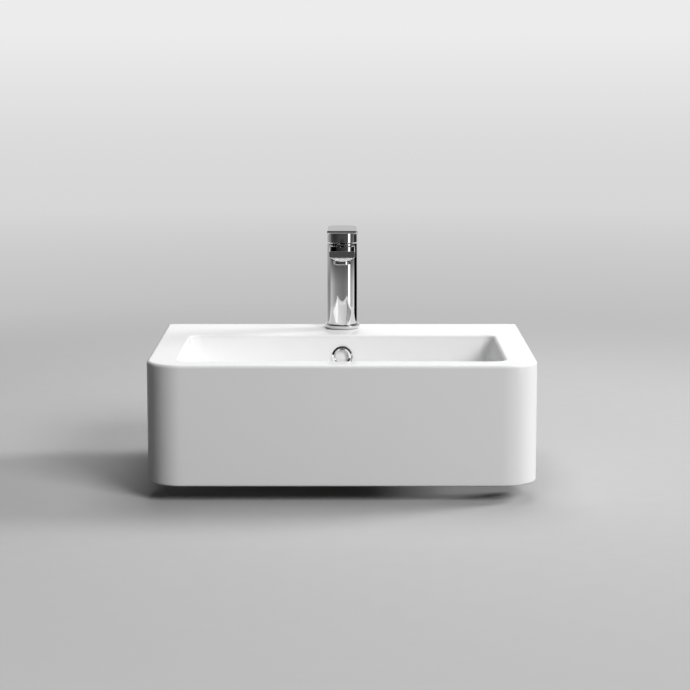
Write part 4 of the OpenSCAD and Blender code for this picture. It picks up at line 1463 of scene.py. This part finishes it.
class OBJECT_OT_basin_tap_handle(bpy.types.Operator):
    """Build the handle: a hollow hub cut back behind, with a flat blade above it, and its plug."""

    bl_idname = "object.basin_tap_handle"
    bl_label = "Tap handle"

    blade_t = 4 * MM
    top_edge = 0.7 * MM
    low_edge = 0.6 * MM
    corner_r = 3 * MM
    spine_low = -47 * MM
    wall = 3 * MM
    wall_from = 10 * MM
    roof = 217.5 * MM
    boss_r = 7 * MM
    boss_low = 209.5 * MM
    socket_r = 4.05 * MM
    socket_top = 218 * MM
    relief = math.radians(22)
    plug_r = 2.5 * MM
    plug_t = 2.4 * MM
    dish_share = 0.6
    plug_z = 214 * MM
    plug_half = 3 * MM
    plug_hole_l = 2.7 * MM
    plug_hole_edge = 0.25 * MM

    # Where the blade hardly hangs over the hub, its lower edges' radius is the overhang divided by this
    overhang_parts = 2.5

    # How far up the inner and the outer wall the line round the hub's foot starts and ends
    inner_rise = 12 * MM
    outer_rise = 8 * MM

    # Shares at which loops lie across the blade's underside and its top
    under_shares = (0.02, 0.5, 0.98)
    top_shares = (0.04, 0.3, 0.65, 1.0)

    def execute(self, context):
        self.handle()
        self.plug()
        return {"FINISHED"}

    def blade_outline(self, inset=0.0):
        """The blade's outline about the tap's axis: a half circle behind, two sides and a straight end."""
        r = COLUMN_R - inset
        corner = self.corner_r - inset
        reach = TAP_Y - HANDLE_LOW.y
        end_x = COLUMN_R - self.corner_r
        end_y = self.corner_r - reach
        front = inset - reach
        turn = np.linspace(0, math.pi / 2, num=9)[:-1]

        def line(first, last, steps):
            share = np.linspace(0, 1, num=steps + 1)[:-1, None]
            return np.array(first) + share * np.subtract(last, first)

        parts = [
            arc(0, 0, r, 0, np.linspace(0, math.pi, num=61)[:-1]),
            line((-r, 0), (-r, end_y), steps=30),
            arc(-end_x, end_y, corner, math.pi, turn),
            line((-end_x, front), (end_x, front), steps=20),
            arc(end_x, end_y, corner, 1.5 * math.pi, turn),
            line((r, end_y), (r, 0), steps=30),
        ]
        return np.vstack(parts)

    def handle(self):
        """Rows from the socket down the boss, over the roof and the hub's walls to the blade's top."""
        edge = self.blade_outline()
        out = unit(edge)
        angles = np.arctan2(edge[:, 1], edge[:, 0])
        circle = np.column_stack([np.cos(angles), np.sin(angles)])
        top_z = HANDLE_HIGH.z
        blade_low = top_z - self.blade_t
        inner = COLUMN_R - self.wall
        rows = []

        def level(flat, z):
            rows.append(np.column_stack([flat + (0, TAP_Y), np.broadcast_to(z, len(flat))]))

        inside = [
            (0, self.socket_top, 0),
            (self.socket_r, self.socket_top, 0.2 * MM),
            (self.socket_r, self.boss_low, 0.3 * MM),
            (self.boss_r, self.boss_low, 0.5 * MM),
            (self.boss_r, self.roof, 0.6 * MM),
            (inner, self.roof, 1.5 * MM),
            (inner, HANDLE_LOW.z + self.wall_from, 0),
        ]
        for r, z in rounded(inside, steps=3):
            level(circle * r, z)
        foot = [(inner, self.inner_rise), (inner, 0), (COLUMN_R, 0), (COLUMN_R, self.outer_rise)]
        for r, rise in rounded(foot, 0.4 * MM, steps=5)[1:-1]:
            flat = circle * r
            level(flat, HANDLE_LOW.z + rise + np.maximum(flat[:, 1], 0) * math.tan(self.relief))
        window_low = len(rows)
        for z in np.linspace(self.plug_z - self.plug_half, self.plug_z + self.plug_half, num=7):
            level(circle * COLUMN_R, z)
        window_high = len(rows) - 1
        overhang = np.linalg.norm(edge, axis=1) - COLUMN_R
        root = np.minimum(self.low_edge, overhang / self.overhang_parts)
        for across, up in fillet(steps=4):
            level(circle * (COLUMN_R + root[:, None] * across), blade_low - root * (1 - up))
        start = rows[-1][:, :2] - (0, TAP_Y)
        end = edge - out * root[:, None]
        for flat in between(start, end, self.under_shares):
            level(flat, blade_low)
        for across, up in fillet(steps=4):
            level(edge - out * (root * (1 - up))[:, None], blade_low + root * across)
        level(edge, top_z - 2 * self.top_edge)
        for across, up in fillet(steps=5):
            level(self.blade_outline(self.top_edge * across), top_z - self.top_edge * (1 - up))
        top = self.blade_outline(self.top_edge)
        spine = np.column_stack([0 * top[:, 0], np.clip(top[:, 1], self.spine_low, 0)])
        for flat in between(top, spine, self.top_shares):
            level(flat, top_z)
        skin = Skin()
        points = np.stack(rows)
        numbers = skin.add(points)
        middle = int(np.argmin(np.abs(angles - math.pi / 2)))
        window = (window_low, window_high, middle - 3, middle + 3)
        skin.quads(numbers, windows=[window])
        self.plug_hole(skin, numbers, points, window)
        thing = skin.build("tap_handle_blade", sharp=30)
        settle(thing, "tap_lever", "chrome_tap", ["tap_handle"], "chrome")

    def plug_hole(self, skin, numbers, points, window):
        """A round blind hole in the hub's back, whose mouth lies on the hub's round wall."""
        rim = rim_of(numbers, window)
        flat = points.reshape(-1, 3)[rim]
        angles = np.arctan2(flat[:, 2] - self.plug_z, flat[:, 0])
        radius = self.plug_r + 0.05 * MM
        profile = [
            (radius + self.plug_hole_edge, 0),
            (radius, self.plug_hole_edge),
            (radius, self.plug_hole_l),
            (0, self.plug_hole_l),
        ]
        rings = []
        for r, sink in profile:
            x = r * np.cos(angles)
            z = self.plug_z + r * np.sin(angles)
            y = TAP_Y + np.sqrt(COLUMN_R**2 - x**2) - sink
            rings.append(np.column_stack([x, y, z]))
        skin.quads(np.vstack([rim, skin.add(np.stack(rings))]))

    def plug(self):
        """The round plug over the handle's screw, with a shallow dish."""
        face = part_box("handle_plug")[1].y
        profile = [
            (0, face - 0.25 * MM, 0),
            (self.plug_r * self.dish_share, face - 0.2 * MM, 0.8 * MM),
            (self.plug_r, face, 0.3 * MM),
            (self.plug_r, face - self.plug_t, 0.2 * MM),
            (0, face - self.plug_t, 0),
        ]
        axes = np.array([[1.0, 0, 0], [0, 0, 1.0], [0, 1.0, 0]])
        skin = Skin()
        skin.sheet(turned(rounded(profile, steps=3), (0, 0, self.plug_z), sides=48, axes=axes))
        thing = skin.build("handle_plug_button", sharp=50)
        settle(thing, "tap_lever", "grey_plastic", ["handle_plug"], "grey_plastic")


class OBJECT_OT_basin_fittings(bpy.types.Operator):
    """Dress the clamp under the ledge, the cartridge, the aerator's insert and the waste's plunger."""

    bl_idname = "object.basin_fittings"
    bl_label = "Fittings"

    # Node, body, slot, finish and the radius of its edges in millimetres
    parts = [
        ("clamp_seal", "fixed", "black_rubber", "rubber", 0.5),
        ("clamp_plate", "fixed", "steel_fixings", "steel", 0.3),
        ("clamp_nut", "fixed", "brass_fittings", "brass", 0.4),
        ("cartridge_can", "fixed", "white_plastic", "plastic", 0.2),
        ("cartridge_seal", "fixed", "black_rubber", "rubber", 0.3),
        ("cartridge_fixed_disc", "fixed", "valve_ceramic", "ceramic", 0.2),
        ("cartridge_moving_disc", "tap_swivel", "valve_ceramic", "ceramic", 0.2),
        ("cartridge_swivel", "tap_swivel", "white_plastic", "plastic", 0.2),
        ("cartridge_pin", "tap_swivel", "steel_fixings", "steel", 0.2),
        ("cartridge_lever", "tap_lever", "brass_fittings", "brass", 0.2),
        ("cartridge_nut", "fixed", "brass_fittings", "brass", 0.3),
        ("handle_screw", "tap_lever", "steel_fixings", "steel", 0.2),
        ("aerator_insert", "fixed", "grey_plastic", "grey_plastic", 0.2),
        ("aerator_seal", "fixed", "black_rubber", "rubber", 0.3),
        ("waste_sleeve", "fixed", "white_plastic", "plastic", 0.3),
        ("waste_plunger", "waste_plug", "white_plastic", "plastic", 0.3),
    ]

    def execute(self, context):
        for node, body, slot, finish, edge in self.parts:
            thing = dressed(node, node + "_dressed", edge * MM)
            settle(thing, body, slot, [node], finish)
        return {"FINISHED"}


# Stage


class OBJECT_OT_basin_stage(bpy.types.Operator):
    """Set the floor, the backdrop, the lamps, the curtain that the chrome mirrors and the camera."""

    bl_idname = "object.basin_stage"
    bl_label = "Stage"

    floor_gap = 1 * MM
    floor_r = 12.0
    fade_start = 0.6
    fade_end = 1.7

    # Between these heights of a direction at length one, the backdrop goes from floor to ceiling
    sky_low = -0.04
    sky_high = 0.56

    # Name, place and size of each square lamp, and where they all aim
    lamp_rows = [
        ("key", (2.81, -3.92, 2.95), 2.4),
        ("side", (4.52, 1.46, 2.7), 1.7),
        ("top", (0.15, 0.7, 2.0), 1.4),
    ]
    aim = (0.0, -0.19, 0.03)

    sensor_width = 36.0
    clip_start = 0.05
    clip_end = 60.0

    # Each row of the curtain: its height, which of the three tones below it takes, how much of it
    # and how far it goes over to the bright panel behind, which the rim mirrors
    curtain_rows = [
        (-0.077, 0, 1.45, 0.0),
        (-0.03, 0, 1.2, 0.0),
        (0.0, 0, 1.1, 0.0),
        (0.05, 1, 1.3, 0.0),
        (0.2, 2, 1.0, 1.0),
        (0.325, 2, 1.0, 1.0),
        (0.335, 2, 1.0, 0.0),
        (0.42, 2, 1.0, 0.0),
        (0.9, 2, 1.0, 0.0),
        (2.2, 2, 1.0, 0.0),
    ]
    curtain_r = 1.2
    curtain_panel = 0.66

    # Behind, over the first two azimuths, the highest tone turns into a share of the backdrop's grey,
    # and over the other two the panel fades in
    rear_share = 0.8
    rear_azimuths = (120, 150)
    panel_azimuths = (150, 155)

    # At each azimuth in degrees, from straight in front towards the right, how bright a mirror shows
    # the curtain low down, at the tap's height and high up
    curtain_tones = [
        (-165, 0.28, 0.26, 0.3),
        (-136, 0.21, 0.28, 0.26),
        (-118, 0.17, 0.22, 0.12),
        (-104, 0.26, 0.17, 0.09),
        (-93, 0.44, 0.07, 0.01),
        (-80, 0.36, 0.04, 0.0),
        (-54, 0.23, 0.03, 0.0),
        (-37, 0.19, 0.04, 0.02),
        (-13, 0.16, 0.05, 0.03),
        (10, 0.14, 0.05, 0.04),
        (42, 0.18, 0.05, 0.06),
        (46, 0.18, 0.05, 0.06),
        (47, 1.15, 1.15, 1.15),
        (62, 1.15, 1.15, 1.15),
        (64, 0.35, 0.11, 0.1),
        (78, 0.3, 0.07, 0.01),
        (88, 0.4, 0.12, 0.01),
        (99, 0.53, 0.15, 0.01),
        (105, 0.53, 0.15, 0.01),
        (107, 0.0, 0.0, 0.01),
        (138, 0.0, 0.0, 0.01),
        (150, 0.05, 0.07, 0.1),
        (165, 0.23, 0.3, 0.3),
    ]

    def execute(self, context):
        look = context.scene.basin_stage
        self.floor(look)
        self.world(context.scene, look)
        self.curtain(look, context.scene.basin_finishes.chrome[0])
        self.lamps(look)
        self.camera(context.scene, look)
        context.scene.view_settings.view_transform = "Standard"
        return {"FINISHED"}

    def floor(self, look):
        """A wide disc whose grey turns into the backdrop's, seen from far off."""
        a = np.linspace(0, math.tau, num=96, endpoint=False)
        points = at_height(arc(0, 0, self.floor_r, 0, a), CAD_BOX[0].z - self.floor_gap)
        mesh = bpy.data.meshes.new("floor")
        mesh.from_pydata(points.tolist(), [], [list(range(len(a)))])
        thing = linked("floor", mesh)
        finish = Finish("floor")
        near, far = look.backdrop_near, look.backdrop_far
        seen = finish.seen_by("Glossy")
        cloud = finish.noise(scale=30.0)
        colour = finish.clouded((look.floor_colour,) * 3, share=0.985, cloud=cloud)
        bounce = (*(look.floor_bounce,) * 3, 1)
        tone = finish.add("Mix", {"Factor": seen, "A": bounce, "B": colour}, data_type="RGBA")
        finish.set("Base Color", tone.outputs["Result"])
        finish.set("Roughness", 0.9)
        finish.set("Specular IOR Level", 0.1)
        distance = finish.add("VectorMath", {0: finish.place}, operation="LENGTH").outputs["Value"]
        fade = finish.ranged(
            distance, self.fade_start, self.fade_end, interpolation_type="SMOOTHSTEP"
        )
        both = finish.add("Math", {0: seen, 1: fade}, operation="MULTIPLY").outputs["Value"]
        reach = finish.ranged(distance, self.fade_start, self.floor_r)
        stops = [(0.0, near), (0.3, 0.25 * near + 0.75 * far), (1.0, far)]
        glow = finish.add("Emission", {"Color": finish.greys(reach, stops)}).outputs["Emission"]
        inputs = {0: both, 1: finish.shader.outputs["BSDF"], 2: glow}
        mix = finish.add("MixShader", inputs)
        finish.feed(finish.output, "Surface", mix.outputs["Shader"])
        mesh.materials.append(finish.made)

    def world(self, scene, look):
        """An even room light, and a backdrop that brightens upwards where the camera or a mirror sees it."""
        scene.world = bpy.data.worlds.new("studio")
        nodes = Nodes(scene.world)
        place = nodes.add("TexCoord", {}).outputs["Generated"]
        height = nodes.add("SeparateXYZ", {"Vector": place}).outputs["Z"]
        stops = [
            (0.0, look.backdrop_far),
            (0.067, look.backdrop_high),
            (0.12, look.backdrop_high),
            (0.33, look.backdrop_top),
            (0.5, look.backdrop_top),
            (0.8, look.ceiling),
            (1.0, look.ceiling),
        ]
        colour = nodes.greys(nodes.ranged(height, self.sky_low, self.sky_high), stops)
        backdrop = nodes.add("Background", {"Color": colour})
        room = nodes.add("Background", {"Color": (*(look.fill,) * 3, 1)})
        inputs = {
            0: nodes.seen_by("Glossy", "Transmission"),
            1: room.outputs["Background"],
            2: backdrop.outputs["Background"],
        }
        mix = nodes.add("MixShader", inputs)
        nodes.add("OutputWorld", {"Surface": mix.outputs["Shader"]})

    def curtain(self, look, chrome_share):
        """A drum round the tap that only mirrors see; each column's brightness follows its azimuth."""
        degrees = np.arange(-180, 180, 1.0)
        tones = np.array(self.curtain_tones)
        seen = np.stack([np.interp(degrees, tones[:, 0], tones[:, i], period=360) for i in (1, 2, 3)])
        height, kind, gain, panel = np.array(self.curtain_rows).T[:, :, None]
        tone = seen[kind[:, 0].astype(int)] * gain

        def past(first, last):
            return np.clip((np.abs(degrees) - first) / (last - first), 0, 1)

        rear_tone = look.backdrop_top * self.rear_share
        tone += (rear_tone - tone) * past(*self.rear_azimuths) * (kind == 2)
        tone += (self.curtain_panel - tone) * past(*self.panel_azimuths) * panel
        turn = np.radians(degrees)
        x = self.curtain_r * np.sin(turn)
        y = TAP_Y - self.curtain_r * np.cos(turn)
        flat = np.column_stack([x, y])
        skin = Skin()
        skin.sheet(np.stack([at_height(flat, z) for z in height[:, 0]]))
        mesh = bpy.data.meshes.new("curtain")
        mesh.from_pydata(np.vstack(skin.points).tolist(), [], skin.faces)
        thing = linked("curtain", mesh)
        values = mesh.attributes.new("tone", "FLOAT", "POINT")
        values.data.foreach_set("value", (tone / chrome_share).ravel().astype(np.float32))
        made = bpy.data.materials.new("curtain")
        nodes = Nodes(made)
        source = nodes.add("Attribute", {}, attribute_name="tone").outputs["Fac"]
        glow = nodes.add("Emission", {"Strength": source}).outputs["Emission"]
        nodes.add("OutputMaterial", {"Surface": glow})
        mesh.materials.append(made)
        for ray in ("camera", "diffuse", "shadow", "transmission", "volume_scatter"):
            setattr(thing, "visible_" + ray, False)

    def lamps(self, look):
        """Three square lamps, all aimed at the basin, that neither the camera nor a mirror sees."""
        for name, place, size in self.lamp_rows:
            lamp = bpy.data.lights.new(name, "AREA")
            lamp.shape = "SQUARE"
            lamp.size = size
            lamp.energy = getattr(look, name + "_strength")
            thing = linked(name, lamp)
            thing.location = place
            away = Vector(place) - Vector(self.aim)
            thing.rotation_euler = away.to_track_quat("Z", "Y").to_euler()
            thing.visible_glossy = False
            thing.visible_camera = False

    def camera(self, scene, look):
        """The camera in front, looking slightly down."""
        data = bpy.data.cameras.new("camera")
        data.lens = look.focal_length
        data.sensor_width = self.sensor_width
        data.clip_start = self.clip_start
        data.clip_end = self.clip_end
        thing = linked("camera", data)
        thing.location = look.camera_place
        thing.rotation_euler = (math.pi / 2 - look.camera_pitch, 0.0, 0.0)
        scene.camera = thing


OPERATORS = (
    OBJECT_OT_basin_china,
    OBJECT_OT_basin_overflow_ring,
    OBJECT_OT_basin_waste,
    OBJECT_OT_basin_tap_body,
    OBJECT_OT_basin_tap_handle,
    OBJECT_OT_basin_fittings,
    OBJECT_OT_basin_stage,
)


class VIEW3D_PT_basin(bpy.types.Panel):
    """Lists the sizes, finishes and pieces of the basin."""

    bl_idname = "VIEW3D_PT_basin"
    bl_label = "Semi-recessed basin"
    bl_space_type = "VIEW_3D"
    bl_region_type = "UI"
    bl_category = "Basin"

    def draw(self, context):
        layout = self.layout
        for operator in OPERATORS:
            layout.operator(operator.bl_idname)
        scene = context.scene
        for group in (scene.basin_sizes, scene.basin_finishes, scene.basin_stage):
            box = layout.box()
            for name in group.bl_rna.properties.keys():
                if name not in ("rna_type", "name"):
                    box.prop(group, name)


GROUPS = {
    "basin_sizes": BasinSizes,
    "basin_finishes": Finishes,
    "basin_stage": StageLook,
}


def register():
    """Registers the groups, the operators and the panel."""
    for name, group in GROUPS.items():
        bpy.utils.register_class(group)
        setattr(bpy.types.Scene, name, PointerProperty(type=group))
    for operator in OPERATORS:
        bpy.utils.register_class(operator)
    bpy.utils.register_class(VIEW3D_PT_basin)


def unregister():
    """Takes them out again."""
    bpy.utils.unregister_class(VIEW3D_PT_basin)
    for operator in reversed(OPERATORS):
        bpy.utils.unregister_class(operator)
    for name, group in GROUPS.items():
        delattr(bpy.types.Scene, name)
        bpy.utils.unregister_class(group)


def main():
    """Builds every piece and the stage."""
    register()
    for operator in OPERATORS:
        section, name = operator.bl_idname.split(".")
        getattr(getattr(bpy.ops, section), name)()


if __name__ == "__main__":
    main()
